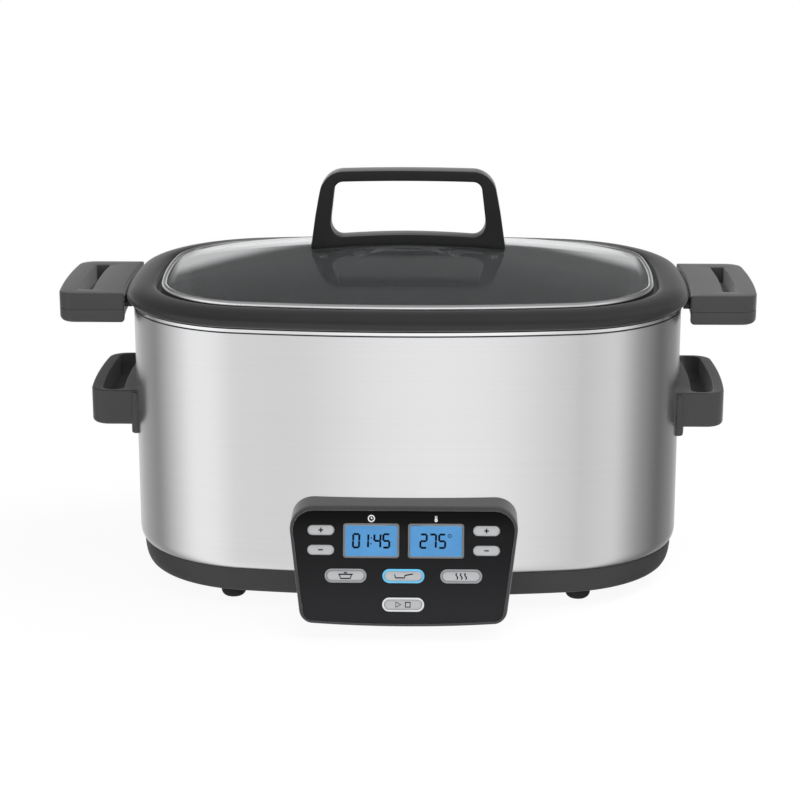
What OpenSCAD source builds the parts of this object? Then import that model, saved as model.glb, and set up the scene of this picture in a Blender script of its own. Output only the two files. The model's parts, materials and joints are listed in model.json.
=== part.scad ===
// Oval multicooker: a steel housing with a control panel, a lift-out cooking pot and a glass lid.
// Front is -Y and +X is to the right; the origin is on the table, under the middle of the housing.

/* [Housing] */
// Width of the steel housing, side to side
body_w = 400; // [370:1:440]
// Depth of the steel housing, front to back
body_d = 280; // [260:1:310]
// Radius of the four corners of the plan
corner_r = 95; // [85:1:105]
// Half angle over which each short side bows out
side_bow = 5; // [4:0.5:8]
// Half angle over which the front and the back bow out
front_bow = 9; // [7:0.5:11]
// Height of the steel wall
housing_h = 172; // [160:1:190]
// Thickness of the steel sheet
steel_t = 1.2; // [1:0.1:1.6]
// How far the foot of the steel wall turns in
hem_in = 3.5; // [2.5:0.5:4.5]
// Height over which the foot of the wall turns in
hem_h = 8; // [6:0.5:10]
// Width of the flange under the steel wall
hem_flange = 3.5; // [3:0.5:4]
// Width of the polished trim ring
trim_w = 8.6; // [6:0.1:10]
// Height of the polished trim ring
trim_t = 2.5; // [2:0.1:4]

/* [Base] */
// Height of the rubber feet
foot_h = 10; // [7:0.5:13]
// Diameter of the rubber feet
foot_d = 18; // [14:0.5:22]
// Distance of the feet from the middle, side to side
foot_x = 124; // [110:1:130]
// Distance of the feet from the middle, front to back
foot_y = 104; // [90:1:108]
// Height of the base tray up to the steel wall
base_h = 18.5; // [17:0.5:25]
// Thickness of the tray floor
tray_floor_t = 3; // [2.5:0.1:4]
// Inset of the tray from the steel wall at its top
base_inset = 3; // [2:0.5:4]
// Further inset of the tray at its foot
base_taper = 5.4; // [4:0.2:7]

/* [Well and heater] */
// Gap between the housing plan and the wall of the well
well_inset = 16; // [14:0.5:18]
// Room between the pot and the well floor, for the element
well_room = 28.7; // [27:0.1:34]
// Radius at the foot of the well
well_round = 12; // [8:1:16]
// Diameter of the sheathed heating element
element_d = 8; // [6:0.5:9]
// Height of the element above the well floor
element_lift = 17; // [15:0.5:19]
// Radius of the round ends of the element loop
element_r = 62; // [55:1:68]
// Half length of the straight runs of the element
element_run = 60; // [52:1:66]
// Half distance between the two terminal legs
leg_x = 18; // [16:0.5:22]
// Diameter of the sensor cap
sensor_d = 30; // [24:1:36]
// Turns of the sensor spring
spring_turns = 6; // [4:1:7]
// Wire of the sensor spring
spring_wire = 1.6; // [1.2:0.1:1.8]

/* [Cooking pot] */
// Depth of the pot below the lid ledge
pot_depth = 104; // [98:1:106]
// Wall of the pot
pot_wall = 3; // [2.5:0.1:4]
// Floor of the pot
pot_floor_t = 4; // [3:0.1:5]
// Draft of the pot wall from top to bottom
pot_draft = 5.5; // [4:0.5:8]
// Radius at the foot of the pot
pot_round = 14; // [10:1:18]
// Height of the collar
collar_h = 12; // [10.5:0.5:14]
// How far the collar stands out past the housing
collar_out = 4.8; // [3.5:0.1:6]
// Distance from the housing plan in to the crest of the collar
crest_in = 11.5; // [10:0.5:13]
// Distance from the housing plan in to the mouth of the collar
mouth_in = 16.3; // [15:0.1:17]
// Depth of the lid ledge below the crest
ledge_drop = 4.6; // [4:0.1:5.5]
// Width of the lid ledge
ledge_w = 11.2; // [10.5:0.1:13]
// Half length of the pot grips
grip_half = 56; // [50:1:62]
// Width of the pot grips
grip_w = 47; // [43:1:52]
// Gap between the housing plan and the grips
grip_gap = 7; // [6.5:0.5:9]
// Thickness of the upper half of a grip
grip_top_t = 12; // [11:0.5:14]
// Thickness of the lower half of a grip
grip_base_t = 10; // [8:0.5:12]
// Half length of the slot in a grip
slot_half = 42; // [36:1:44]
// Width of the slot in a grip
slot_w = 10; // [8:0.5:12]

/* [Lid] */
// Height of the glass dome above its rim
dome_h = 19.5; // [16:0.5:24]
// Thickness of the glass
glass_t = 4; // [3.5:0.1:4.5]
// Gap around the lid inside the collar
lid_gap = 3.6; // [3:0.1:4.5]
// Width of the steel band around the glass
band_w = 4; // [3.5:0.5:6]
// Thickness of the steel band
band_t = 1; // [0.8:0.1:1.2]
// Height of the lid handle
handle_h = 55; // [47:1:63]
// Width of the lid handle at its foot
handle_w = 144; // [132:1:152]
// Width of the lid handle at its top
handle_top_w = 124; // [115:1:130]
// Depth of the lid handle
handle_d = 18; // [14:0.5:22]
// Height of the handle's lower bar
handle_bar = 7.5; // [7:0.5:10]
// Thickness of the handle's upper bar
handle_top_bar = 7.5; // [6.5:0.5:9.5]
// Thickness of the handle's legs
handle_leg = 14; // [13:0.5:16]

/* [Side handles] */
// How far the side handles stand out
side_reach = 33; // [29:1:37]
// Half length of the side handles
side_half = 56; // [50:1:62]
// Underside of the side handles above the table
side_z = 113; // [106:1:120]
// Height of the side handles
side_h = 26; // [24:0.5:30]
// Depth of the finger scoop
scoop_depth = 13; // [10:0.5:15]

/* [Control panel] */
// Angle at which the panel face leans back
face_tilt = 22; // [18:0.5:26]
// How far the middle of the face stands before the housing
face_reach = 35.6; // [33:0.2:40]
// Height of the middle of the face above the table
face_z = 47; // [46:0.5:52]
// Height of the bezel along the face
panel_h = 82.5; // [79:0.5:85]
// Width of the bezel along its top edge
panel_top_w = 162; // [157:1:166]
// Width of the bezel along its bottom edge
panel_low_w = 141; // [138:1:146]
// Width of the rim of the bezel around the face
bezel_w = 2.4; // [2:0.1:3]
// Thickness of the face plate
face_t = 2.5; // [2:0.1:3]
// Height of the plus and minus keys
key_h = 6.4; // [5.8:0.1:7]
// Width of the plus and minus keys
key_w = 18; // [16:0.2:19]
// Distance of the plus and minus keys from the middle
key_x = 57; // [56:0.2:57]
// Spacing of the plus and minus keys
key_pitch = 13.6; // [11.5:0.1:14]
// Height of the wide keys with their rings
mode_h = 9.5; // [8.5:0.1:10]
// Width of the wide keys with their rings
mode_w = 28.8; // [26:0.2:30]
// Spacing of the three wide keys in a row
mode_pitch = 39.7; // [38:0.1:40]
// Width of the rings round the wide keys
ring_w = 1.3; // [1:0.1:1.6]
// Travel of the keys
key_travel = 0.8; // [0.5:0.1:1]
// Width of a display window with its frame
window_w = 38.4; // [36:0.2:39]
// Height of a display window with its frame
window_h = 23.6; // [21:0.2:24]
// Distance of the display windows from the middle
window_x = 22.3; // [21.6:0.1:22.5]

/* [Fits] */
// Gap between pieces that come apart
seat_gap = 0.3; // [0.2:0.05:0.4]
// Gap around fixed pieces
fit_gap = 0.1; // [0.05:0.05:0.15]
// Gap around the keys
key_gap = 0.3; // [0.25:0.05:0.4]
// Running clearance of the sensor stem
run_gap = 0.06; // [0.04:0.01:0.08]
// Shank diameter of the screws
screw_d = 3.8; // [3.4:0.1:4.2]
// Head diameter of the screws
head_d = 7; // [6.6:0.1:7.6]
// Head height of the screws
head_h = 2.4; // [2:0.1:2.8]

/* [Hidden] */

$fn = 48;
eps = 0.01;
// How far a cut runs past a face, and past the whole piece
over = 1;
through = 400;

// Facets of one quarter of the plan, of a quarter round in a section and of a rounded outline
side_steps = 2;
corner_steps = 11;
front_steps = 3;
round_steps = 4;
outline_steps = 6;

// Eight arcs that make the plan: one on each side and one at each corner
side_lean = tan(side_bow / 2);
front_lean = tan(front_bow / 2);
corner_x = (body_w / 2 - corner_r - side_lean * (body_d / 2 - corner_r)) / (1 - side_lean * front_lean);
corner_y = (body_d / 2 - corner_r - front_lean * (body_w / 2 - corner_r)) / (1 - side_lean * front_lean);
side_r = corner_r + corner_y / sin(side_bow);
side_x = corner_x - corner_y / tan(side_bow);
front_r = corner_r + corner_x / sin(front_bow);
front_y = corner_y - corner_x / tan(front_bow);

// Heights of the stack, from the table up
tray_top = foot_h + tray_floor_t;
base_top = foot_h + base_h;
housing_top = base_top + housing_h;
flange_top = housing_top + steel_t;
trim_top = flange_top + trim_t;
pot_z = trim_top + seat_gap;
crest_z = pot_z + collar_h;
ledge_z = crest_z - ledge_drop;
pot_floor_z = ledge_z - pot_depth;
pot_under_z = pot_floor_z - pot_floor_t;
well_top_z = pot_under_z - well_room;
well_floor_z = well_top_z - steel_t;
lid_z = ledge_z + seat_gap;

// Base tray
base_round_h = 16;
tray_wall = 2.5;
tray_lip_h = 8;
tray_lip_gap = 0.5;
tray_lip_in = hem_in + hem_flange + tray_lip_gap;
foot_peg_d = 8;
foot_barb_d = 11;
foot_barb_h = 2;
foot_chamfer = 1.5;
foot_places = [for (x = [-foot_x, foot_x], y = [-foot_y, foot_y]) [x, y]];

// Posts that carry the well
standoff_d = 12;
standoff_x = 112;
standoff_y = 62;
standoff_places = [for (x = [-standoff_x, standoff_x], y = [-standoff_y, standoff_y]) [x, y]];
screw_reach = 16;
screw_hole_d = screw_d + 2 * fit_gap;

// Well and heater
well_flange_back = 0.8;
element_z = well_top_z + element_lift;
leg_bend = 12;
leg_drop = 17;
leg_low_z = well_floor_z - leg_drop;
bushing_d = 13;
bushing_flange_d = 19;
bushing_flange_t = 2.5;
clip_x = 42;
clip_w = 4;
clip_d = 14;
clip_over = 2;
stem_d = 8;
bush_d = 20;
bush_flange_d = 28;
bush_flange_t = 2;
bush_drop = 12;
bush_low_z = well_floor_z - bush_drop;
sensor_cap_t = 6;
sensor_top_z = pot_under_z - seat_gap;
sensor_stop_d = 13;
sensor_stop_t = 3;
sensor_low_z = bush_low_z - seat_gap - sensor_stop_t;
spring_r = 8;
spring_low_z = well_top_z + bush_flange_t + seat_gap + spring_wire / 2;
spring_high_z = sensor_top_z - sensor_cap_t - seat_gap - spring_wire / 2;
spring_rings = 8;
spring_sides = 6;
fuse_x = 62;
fuse_y = -34;
fuse_d = 7;
fuse_l = 22;

// Power board and cord gland
board_w = 124;
board_d = 72;
board_t = 1.6;
board_y = 18;
board_post_h = 8;
board_post_d = 8;
board_z = tray_top + board_post_h;
board_edge = 6;
board_screw_end = 2;
board_places = [for (x = [-1, 1], y = [-1, 1])
    [x * (board_w / 2 - board_edge), board_y + y * (board_d / 2 - board_edge)]];
// Terminal block, transformer and relay: corner from the middle of the board, and size
terminal = [[-28, 14], [56, 12, 13]];
transformer = [[-44, -22], [34, 28, 24]];
relay = [[2, -20], [20, 16, 16]];
// Capacitors: place from the middle of the board, diameter and height
capacitors = [[30, -14, 12, 20], [46, -14, 10, 16]];
// Leads from the element to the power board, and the ribbon from the display board
lead_d = 3;
lead_drop = 8;
ribbon_w = 24;
ribbon_t = 1.2;
ribbon_up = 12;
ribbon_bend = 10;
ribbon_lap = 8;
gland_up = 21.5;
gland_z = base_top + gland_up;
gland_d = 16;
gland_bore_d = 8;
gland_flange_d = 23;
gland_flange_t = 3;
gland_nut_t = 4;
gland_drop = gland_flange_d / 2 * tan(front_bow / front_steps / 2);

// Pot collar, lugs and grips
collar_low_h = 4.3;
collar_lip = 1.6;
seat_out = 1;
seat_in = 10.5;
ledge_in = mouth_in + ledge_w;
ledge_round = 1.2;
pot_neck = 1;
lug_in = 1.5;
lug_out = 24;
lug_half = 46;
lug_t = 7.6;
lug_round = 6;
grip_drop = 5.2;
grip_part_z = pot_z - grip_drop;
grip_round = 11;
grip_inner_r = 1.5;
grip_screw_y = 20;
grip_screw_o = 16;
grip_screw_up = 9.6;
slot_back = 22.5;
slot_in = grip_gap + slot_back;
slot_round = 2;
head_room = 1;
side_facets = 6;

// Lid
glass_edge_in = mouth_in + lid_gap + band_t + seat_gap;
band_in = mouth_in + lid_gap + band_w;
glass_low_z = lid_z + band_t + fit_gap;
glass_top_z = glass_low_z + glass_t;
band_top_z = glass_top_z + fit_gap + band_t;
band_roll = 1.6;
dome_z = glass_top_z + dome_h;
dome_power = 1.8;
dome_rings = 9;
dome_tip = 0.06;
dome_a = body_w / 2 - band_in;
gasket_t = 1;
gasket_in = 1;
handle_z = dome_z + gasket_t + 2 * fit_gap;
handle_screw_in = 2;
handle_x = handle_w / 2 - handle_leg / 2 - handle_screw_in;
handle_r = 17;
handle_bow = 1.2;
handle_taper = 0.62;
handle_low_r = 9.5;
handle_high_r = 6.5;
handle_facets = 8;
window_facets = 3;
crown_facets = 2;
handle_screw_up = 12;
washer_d = 16;
washer_t = 1.5;
washer_slack = 1;
glass_hole_d = 6;

// Side handles
side_round = 12;
side_flange_low = 6;
side_flange_drop = 1;
side_flange_t = 4.5;
side_flange_over = 2;
side_flange_half = side_half + side_flange_over;
side_flange_r = 1;
scoop_in = 9;
scoop_lip = 8;
scoop_end = 4;
scoop_ramp = 16;
scoop_slope = 3;
scoop_round = 7;
side_screw_y = 30;
side_screw_up = 8;
side_screw_z = side_z + side_screw_up;
side_screw_reach = 11;
plate_t = 2;
plate_edge = 9;
plate_half = side_screw_y + plate_edge;
plate_low = 3;
plate_z = side_z - plate_low;
plate_h = 22;

// Control panel
panel_r = 9;
panel_top_r = 16;
panel_bow = 2.5;
bow_facets = 8;
face_y = body_d / 2 + face_reach;
bezel_proud = 1;
panel_wall = 6;
rib_x = 62;
rib_w = 20;
rib_h = 10;
rib_back = 18;
rib_front = face_y - rib_back;
rib_in = 1;
rib_room = 3;
rib_low = hem_h + head_d / 2 + rib_room;
rib_rise = 22;
rib_places = [for (x = [-1, 1], z = [0, rib_rise]) [x, base_top + rib_low + z]];
panel_screw_x = 67;
panel_screw_reach = 12;
wire_w = 60;
wire_h = 22;
wire_up = 5.5;
wire_z = base_top + hem_h + wire_up;
board_gap = 6;
display_z = -face_t - board_gap;
display_w = 121;
display_low = 30.5;
display_high = 35;
display_room = 1;
pocket_high = 30;
display_t = 1.6;
post_d = 5;
post_bore_d = 2.2;
post_x = 44;
post_high = 32;
post_low = -23;
post_places = [for (x = [-post_x, post_x], y = [post_low, post_high]) [x, y]];
small_head_d = 4;
small_head_h = 1.6;
small_reach = 5;
switch_w = 5;
switch_h = 2;
plunger_d = 2.6;
plunger_h = 0.5;
key_proud = 1.2;
key_flange = 0.8;
key_stem_d = 4;
window_frame_w = 1.2;
window_frame_proud = 0.6;
window_r = 2;
pane_t = 1.5;
window_y = 18.2;
key_top_y = 25.3;
mode_y = -5.9;
start_y = -25.5;
ring_proud = 0.6;
key_low_y = key_top_y - key_pitch;
key_places = [
    [-key_x, key_top_y], [-key_x, key_low_y], [key_x, key_top_y], [key_x, key_low_y]
];
mode_places = [[-mode_pitch, mode_y], [0, mode_y], [mode_pitch, mode_y], [0, start_y]];

// Colours
steel = "#c4c5c8";
polished = "#dcdde0";
dark_grey = "#4a4b4e";
black = "#26272a";
rubber = "#1b1b1c";
board_green = "#2f6b45";
glass_tint = "#55585c";
lcd_blue = "#5a9bdc";
key_silver = "#c8cacd";
lit_blue = "#58bdea";
brass = "#b79a55";
ceramic = "#e9e4d8";
silicone = "#8c8f92";

// A bearing on the plan, folded into its first quarter
function fold(t) =
    let (u = t % 180)
    u <= 90 ? u : 180 - u;

function arc_radius(t) =
    fold(t) <= side_bow ? side_r : fold(t) < 90 - front_bow ? corner_r : front_r;

function arc_centre(t) =
    let (sx = cos(t) < 0 ? -1 : 1, sy = sin(t) < 0 ? -1 : 1)
    fold(t) <= side_bow ? [sx * side_x, 0]
    : fold(t) < 90 - front_bow ? [sx * corner_x, sy * corner_y]
    : [0, sy * front_y];

rising = concat(
    [for (i = [0:side_steps - 1]) side_bow * i / side_steps],
    [for (i = [0:corner_steps - 1]) side_bow + (90 - front_bow - side_bow) * i / corner_steps],
    [for (i = [0:front_steps - 1]) 90 - front_bow + front_bow * i / front_steps]
);
falling = concat([90], [for (i = [len(rising) - 1:-1:1]) rising[i]]);
bearings = concat(
    rising,
    [for (t = falling) 180 - t],
    [for (t = rising) 180 + t],
    [for (t = falling) 360 - t]
);

// The plan, moved out by o
function oval(o) = [for (t = bearings) arc_centre(t) + (arc_radius(t) + o) * [cos(t), sin(t)]];

function level(o, z) = [for (q = oval(o)) [q[0], q[1], z]];

function levels(section) = [for (p = section) level(p[0], p[1])];

// The plan's short side at y, and its long side at x, moved out by o
function side_at(y, o) =
    abs(y) <= (side_r + o) * sin(side_bow)
    ? side_x + sqrt(pow(side_r + o, 2) - y * y)
    : corner_x + sqrt(pow(corner_r + o, 2) - pow(abs(y) - corner_y, 2));

function front_at(x, o) = front_y + sqrt(pow(front_r + o, 2) - x * x);

// A quarter round in a section, from p to q, leaving p along the offset
function quarter(p, q) = [for (i = [0:round_steps])
    let (t = 90 * i / round_steps)
    [p[0] + (q[0] - p[0]) * sin(t), p[1] + (q[1] - p[1]) * (1 - cos(t))]];

// The same, leaving p along the height
function quarter_up(p, q) = [for (i = [0:round_steps])
    let (t = 90 * i / round_steps)
    [p[0] + (q[0] - p[0]) * (1 - cos(t)), p[1] + (q[1] - p[1]) * sin(t)]];

// A band that follows the short side between two offsets
function band(half, o1, o2) = concat(
    [for (i = [0:side_facets]) let (y = half * (2 * i / side_facets - 1)) [side_at(y, o2), y]],
    [for (i = [side_facets:-1:0]) let (y = half * (2 * i / side_facets - 1)) [side_at(y, o1), y]]
);

// Corner radii of such a band, outer corners first
function band_radii(outer, inner) = [for (i = [0:2 * side_facets + 1])
    i == 0 || i == side_facets ? outer : i > side_facets + 1 && i < 2 * side_facets + 1 ? 0
    : i < side_facets ? 0 : inner];

function rect(w, h) = [[-w / 2, -h / 2], [w / 2, -h / 2], [w / 2, h / 2], [-w / 2, h / 2]];

function turn(a) = a > 180 ? a - 360 : a < -180 ? a + 360 : a;

// An outline with each corner rounded by its own radius
function rounded(pts, radii) = [for (i = [0:len(pts) - 1])
    let (
        p = pts[i],
        a = pts[(i + len(pts) - 1) % len(pts)] - p,
        b = pts[(i + 1) % len(pts)] - p,
        u = a / norm(a),
        v = b / norm(b),
        half = acos(u * v) / 2,
        r = radii[i],
        c = p + (u + v) / norm(u + v) * r / sin(half),
        s = p + u * r / tan(half) - c,
        e = p + v * r / tan(half) - c,
        start = atan2(s[1], s[0]),
        sweep = turn(atan2(e[1], e[0]) - start)
    )
    each r == 0 ? [p] : [for (k = [0:outline_steps])
        let (t = start + sweep * k / outline_steps)
        c + r * [cos(t), sin(t)]]];

function soft_rect(w, h, r) = rounded(rect(w, h), [r, r, r, r]);

function pill(w, h) = soft_rect(w, h, h / 2 - eps);

// The bezel outline, moved in by inset, with its height scaled by lean
function panel_outline(inset, lean) =
    let (
        top = panel_top_w / 2 - inset,
        low = panel_low_w / 2 - inset,
        h = panel_h / 2 - inset,
        r = panel_r - inset,
        top_r = panel_top_r - inset,
        edge = [for (i = [0:bow_facets])
            let (x = 2 * i / bow_facets - 1)
            [low * x, (panel_bow * x * x - h) * lean]]
    )
    rounded(
        concat(edge, [[top, h * lean], [-top, h * lean]]),
        [for (i = [0:bow_facets + 2]) i > bow_facets ? top_r : i == 0 || i == bow_facets ? r : 0]
    );

// The display board, with room around it, up to a height on the face
function display_plan(room, high) = [
    [-display_w / 2 - room, -display_low - room], [display_w / 2 + room, -display_low - room],
    [display_w / 2 + room, high], [-display_w / 2 - room, high]
];

// Height of the outer face of the glass over the long axis
function dome_at(x) = glass_top_z + dome_h * (1 - pow(min(1, abs(x) / dome_a), dome_power));

module skin(rings, closed) {
    count = len(rings[0]);
    last = len(rings) - (closed ? 1 : 2);
    sides = [for (i = [0:last], j = [0:count - 1])
        let (a = i * count, b = (i + 1) % len(rings) * count, k = (j + 1) % count)
        [a + j, b + j, b + k, a + k]];
    caps = closed ? [] : [
        [for (j = [0:count - 1]) j],
        [for (j = [count - 1:-1:0]) (len(rings) - 1) * count + j]
    ];
    polyhedron(points = [for (r = rings) each r], faces = concat(sides, caps));
}

module plate(points, low, high) {
    translate([0, 0, low])
        linear_extrude(high - low)
            polygon(points);
}

module rod(d, low, high) {
    translate([0, 0, low])
        cylinder(d = d, h = high - low);
}

module at_places(places) {
    for (p = places)
        translate([p[0], p[1], 0])
            children();
}

module screw(reach) {
    rod(head_d, -head_h, 0);
    rod(screw_d, -eps, reach);
}

module on_side(side) {
    if (side < 0)
        mirror([1, 0, 0])
            children();
    else
        children();
}

module on_face() {
    translate([0, -face_y, face_z])
        rotate([90 - face_tilt, 0, 0])
            children();
}

module on_bezel() {
    translate([0, -face_y, face_z])
        rotate([90, 0, 0])
            children();
}

module base_tray() {
    tray_low_in = base_inset + base_taper;
    section = concat(
        [[-tray_low_in - base_taper, foot_h]],
        quarter([-tray_low_in, foot_h], [-base_inset, foot_h + base_round_h]),
        [
            [-base_inset, base_top], [-tray_lip_in, base_top],
            [-tray_lip_in, base_top + tray_lip_h], [-tray_lip_in - tray_wall, base_top + tray_lip_h],
            [-tray_lip_in - tray_wall, tray_top]
        ]
    );
    color(dark_grey)
    difference() {
        union() {
            skin(levels(section), false);
            at_places(board_places)
                rod(board_post_d, tray_top - over, board_z);
        }
        at_places(foot_places)
            rod(foot_peg_d + 2 * fit_gap, 0, tray_top + over);
        at_places(standoff_places)
            rod(screw_hole_d, 0, tray_top + over);
        at_places(board_places)
            rod(screw_hole_d, tray_top + over, board_z + over);
    }
}

module feet() {
    color(rubber)
    at_places(foot_places) {
        cylinder(d1 = foot_d - 2 * foot_chamfer, d2 = foot_d, h = foot_chamfer);
        rod(foot_d, foot_chamfer, foot_h);
        rod(foot_peg_d, foot_h - eps, tray_top + fit_gap + eps);
        rod(foot_barb_d, tray_top + fit_gap, tray_top + fit_gap + foot_barb_h);
    }
}

module housing_shell() {
    flange_in = hem_in + hem_flange;
    section = concat(
        [[-flange_in, base_top]],
        quarter([-hem_in, base_top], [0, base_top + hem_h]),
        [[0, housing_top], [-steel_t, housing_top]],
        quarter_up([-steel_t, base_top + hem_h], [-hem_in - steel_t / 2, base_top + steel_t]),
        [[-flange_in, base_top + steel_t]]
    );
    color(steel)
    difference() {
        skin(levels(section), true);
        for (p = rib_places)
            translate([p[0] * panel_screw_x, 0, p[1]])
                rotate([90, 0, 0])
                    rod(screw_hole_d, 0, through);
        translate([-wire_w / 2, -body_d, wire_z])
            cube([wire_w, body_d, wire_h]);
        for (y = [-side_screw_y, side_screw_y])
            translate([-through, y, side_screw_z])
                rotate([0, 90, 0])
                    rod(screw_hole_d, 0, 2 * through);
        translate([0, 0, gland_z])
            rotate([-90, 0, 0])
                rod(gland_d + 2 * fit_gap, 0, through);
    }
}

module top_trim_ring() {
    trim_out = 0.6;
    section = concat(
        [[-trim_w + trim_out, flange_top], [trim_out, flange_top]],
        quarter_up([trim_out, trim_top - trim_out], [0, trim_top]),
        [[-trim_w + trim_out, trim_top]]
    );
    color(polished)
    skin(levels(section), true);
}

module inner_well() {
    inner = well_inset + steel_t;
    section = concat(
        quarter([-well_inset - well_round, well_floor_z], [-well_inset, well_floor_z + well_round]),
        [
            [-well_inset, housing_top], [-well_flange_back, housing_top],
            [-well_flange_back, flange_top], [-inner, flange_top]
        ],
        quarter_up([-inner, well_floor_z + well_round], [-inner - well_round + steel_t, well_top_z])
    );
    color(steel)
    difference() {
        skin(levels(section), false);
        rod(bush_d + 2 * fit_gap, well_floor_z - over, well_top_z + over);
        for (x = [-leg_x, leg_x])
            translate([x, element_r, 0])
                rod(bushing_d + 2 * fit_gap, well_floor_z - over, well_top_z + over);
    }
}

module well_standoffs() {
    color(brass)
    at_places(standoff_places)
        difference() {
            rod(standoff_d, tray_top, well_floor_z);
            rod(screw_hole_d, tray_top - over, tray_top + screw_reach + over);
        }
}

module base_screws() {
    color(steel)
    at_places(standoff_places)
        translate([0, 0, foot_h])
            screw(tray_floor_t + screw_reach);
}

module heating_element() {
    run_x = leg_x + leg_bend;
    color(dark_grey)
    for (s = [0, 1])
        mirror([s, 0, 0]) {
            translate([element_run, 0, element_z])
                rotate([0, 0, -90])
                    rotate_extrude(angle = 180)
                        translate([element_r, 0])
                            circle(d = element_d);
            translate([0, -element_r, element_z])
                rotate([0, 90, 0])
                    rod(element_d, 0, element_run);
            translate([run_x, element_r, element_z])
                rotate([0, 90, 0])
                    rod(element_d, 0, element_run - run_x);
            translate([run_x, element_r, element_z - leg_bend])
                rotate([90, 0, 0])
                    rotate([0, 0, 90])
                        rotate_extrude(angle = 90)
                            translate([leg_bend, 0])
                                circle(d = element_d);
            translate([leg_x, element_r, 0])
                rod(element_d, leg_low_z, element_z - leg_bend);
        }
}

module element_bushings() {
    color(ceramic)
    for (x = [-leg_x, leg_x])
        translate([x, element_r, 0])
            difference() {
                union() {
                    rod(bushing_d, well_floor_z - bushing_flange_t, well_top_z + eps);
                    rod(bushing_flange_d, well_top_z, well_top_z + bushing_flange_t);
                }
                rod(element_d + 2 * fit_gap, well_floor_z - through, well_top_z + through);
            }
}

module element_clips() {
    clip_top = element_z + element_d / 2 + clip_over;
    color(steel)
    for (x = [-clip_x, clip_x], y = [-element_r, element_r])
        translate([x, y, 0])
            difference() {
                translate([-clip_w / 2, -clip_d / 2, well_top_z])
                    cube([clip_w, clip_d, clip_top - well_top_z]);
                translate([-clip_w, 0, element_z])
                    rotate([0, 90, 0])
                        rod(element_d + 2 * fit_gap, 0, 2 * clip_w);
            }
}

module sensor_bush() {
    color(steel)
    difference() {
        union() {
            rod(bush_d, bush_low_z, well_top_z + eps);
            rod(bush_flange_d, well_top_z, well_top_z + bush_flange_t);
        }
        rod(stem_d + 2 * run_gap, bush_low_z - over, well_top_z + through);
    }
}

// Points along the sensor spring, and the ring of its wire at each
function spring_point(i) =
    let (t = i / spring_rings)
    [spring_r * cos(360 * t), spring_r * sin(360 * t),
        spring_low_z + (spring_high_z - spring_low_z) * t / spring_turns];

function spring_ring(i) =
    let (t = 360 * i / spring_rings, c = spring_point(i), out = [cos(t), sin(t), 0])
    [for (k = [0:spring_sides - 1])
        let (a = -360 * k / spring_sides)
        c + spring_wire / 2 * (cos(a) * out + [0, 0, sin(a)])];

module sensor_spring() {
    count = spring_turns * spring_rings;
    least_gap = min([for (i = [0:count - spring_rings])
        norm(spring_point(i + spring_rings) - spring_point(i)) - spring_wire]);
    echo(str("sensor spring least gap ", least_gap));
    color(steel)
    skin([for (i = [count:-1:0]) spring_ring(i)], false);
}

module sensor_cap() {
    color(polished) {
        rod(sensor_d, sensor_top_z - sensor_cap_t, sensor_top_z);
        rod(stem_d, sensor_low_z, sensor_top_z - sensor_cap_t / 2);
        rod(sensor_stop_d, sensor_low_z, sensor_low_z + sensor_stop_t);
    }
}

module thermal_fuse() {
    fuse_z = well_floor_z - steel_t - fuse_d / 2;
    color(ceramic)
    translate([fuse_x, fuse_y, 0]) {
        translate([-fuse_l / 2, -fuse_d, well_floor_z - steel_t])
            cube([fuse_l, 2 * fuse_d, steel_t]);
        translate([-fuse_l / 2, 0, fuse_z + eps])
            rotate([0, 90, 0])
                rod(fuse_d, 0, fuse_l);
        translate([-fuse_l / 4, -fuse_d / 2, fuse_z])
            cube([fuse_l / 2, fuse_d, fuse_d / 2 + eps]);
    }
}

module power_board() {
    top = board_z + board_t;
    color(board_green)
    difference() {
        union() {
            translate([-board_w / 2, board_y - board_d / 2, board_z])
                cube([board_w, board_d, board_t]);
            for (block = [terminal, transformer, relay])
                translate([block[0][0], board_y + block[0][1], top - eps])
                    cube(block[1]);
            for (can = capacitors)
                translate([can[0], board_y + can[1], 0])
                    rod(can[2], top - eps, top + can[3]);
        }
        at_places(board_places)
            rod(screw_hole_d, board_z - over, top + over);
    }
}

module board_screws() {
    color(steel)
    at_places(board_places)
        translate([0, 0, board_z + board_t])
            mirror([0, 0, 1])
                screw(board_t + board_post_h - board_screw_end);
}

// Two leads, from the ends of the element's legs down to the terminal block
module heater_leads() {
    low_y = board_y + terminal[0][1] + terminal[1][1] / 2;
    low_z = board_z + board_t + terminal[1][2] + fit_gap;
    points = [
        [element_r, leg_low_z - fit_gap], [element_r, leg_low_z - lead_drop],
        [low_y, low_z + lead_drop], [low_y, low_z]
    ];
    color(ceramic)
    for (x = [-leg_x, leg_x], i = [0:len(points) - 2]) {
        run = points[i + 1] - points[i];
        translate([x, points[i][0], points[i][1]]) {
            rotate([atan2(-run[0], run[1]), 0, 0])
                rod(lead_d, 0, norm(run));
            if (i > 0)
                sphere(d = lead_d + 2 * fit_gap);
        }
    }
}

// A flat cable from the back of the display board, through the housing wall, to the power board
module panel_ribbon() {
    back_z = display_z - display_t;
    lean = ribbon_t * tan(face_tilt);
    from_y = -face_y + ribbon_up * sin(face_tilt) - back_z * cos(face_tilt) + lean + fit_gap;
    from_z = face_z + ribbon_up * cos(face_tilt) + back_z * sin(face_tilt);
    hole_z = wire_z + wire_h / 2;
    board_front = board_y - board_d / 2;
    board_top = board_z + board_t + fit_gap;
    low = [
        [from_y, from_z], [-body_d / 2 - ribbon_bend, hole_z], [-body_d / 2 + ribbon_bend, hole_z],
        [board_front - ribbon_bend, board_top], [board_front + ribbon_lap, board_top]
    ];
    color(silicone)
    rotate([90, 0, 90])
        plate(concat(low, [for (i = [len(low) - 1:-1:0]) low[i] + [0, ribbon_t]]),
            -ribbon_w / 2, ribbon_w / 2);
}

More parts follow.
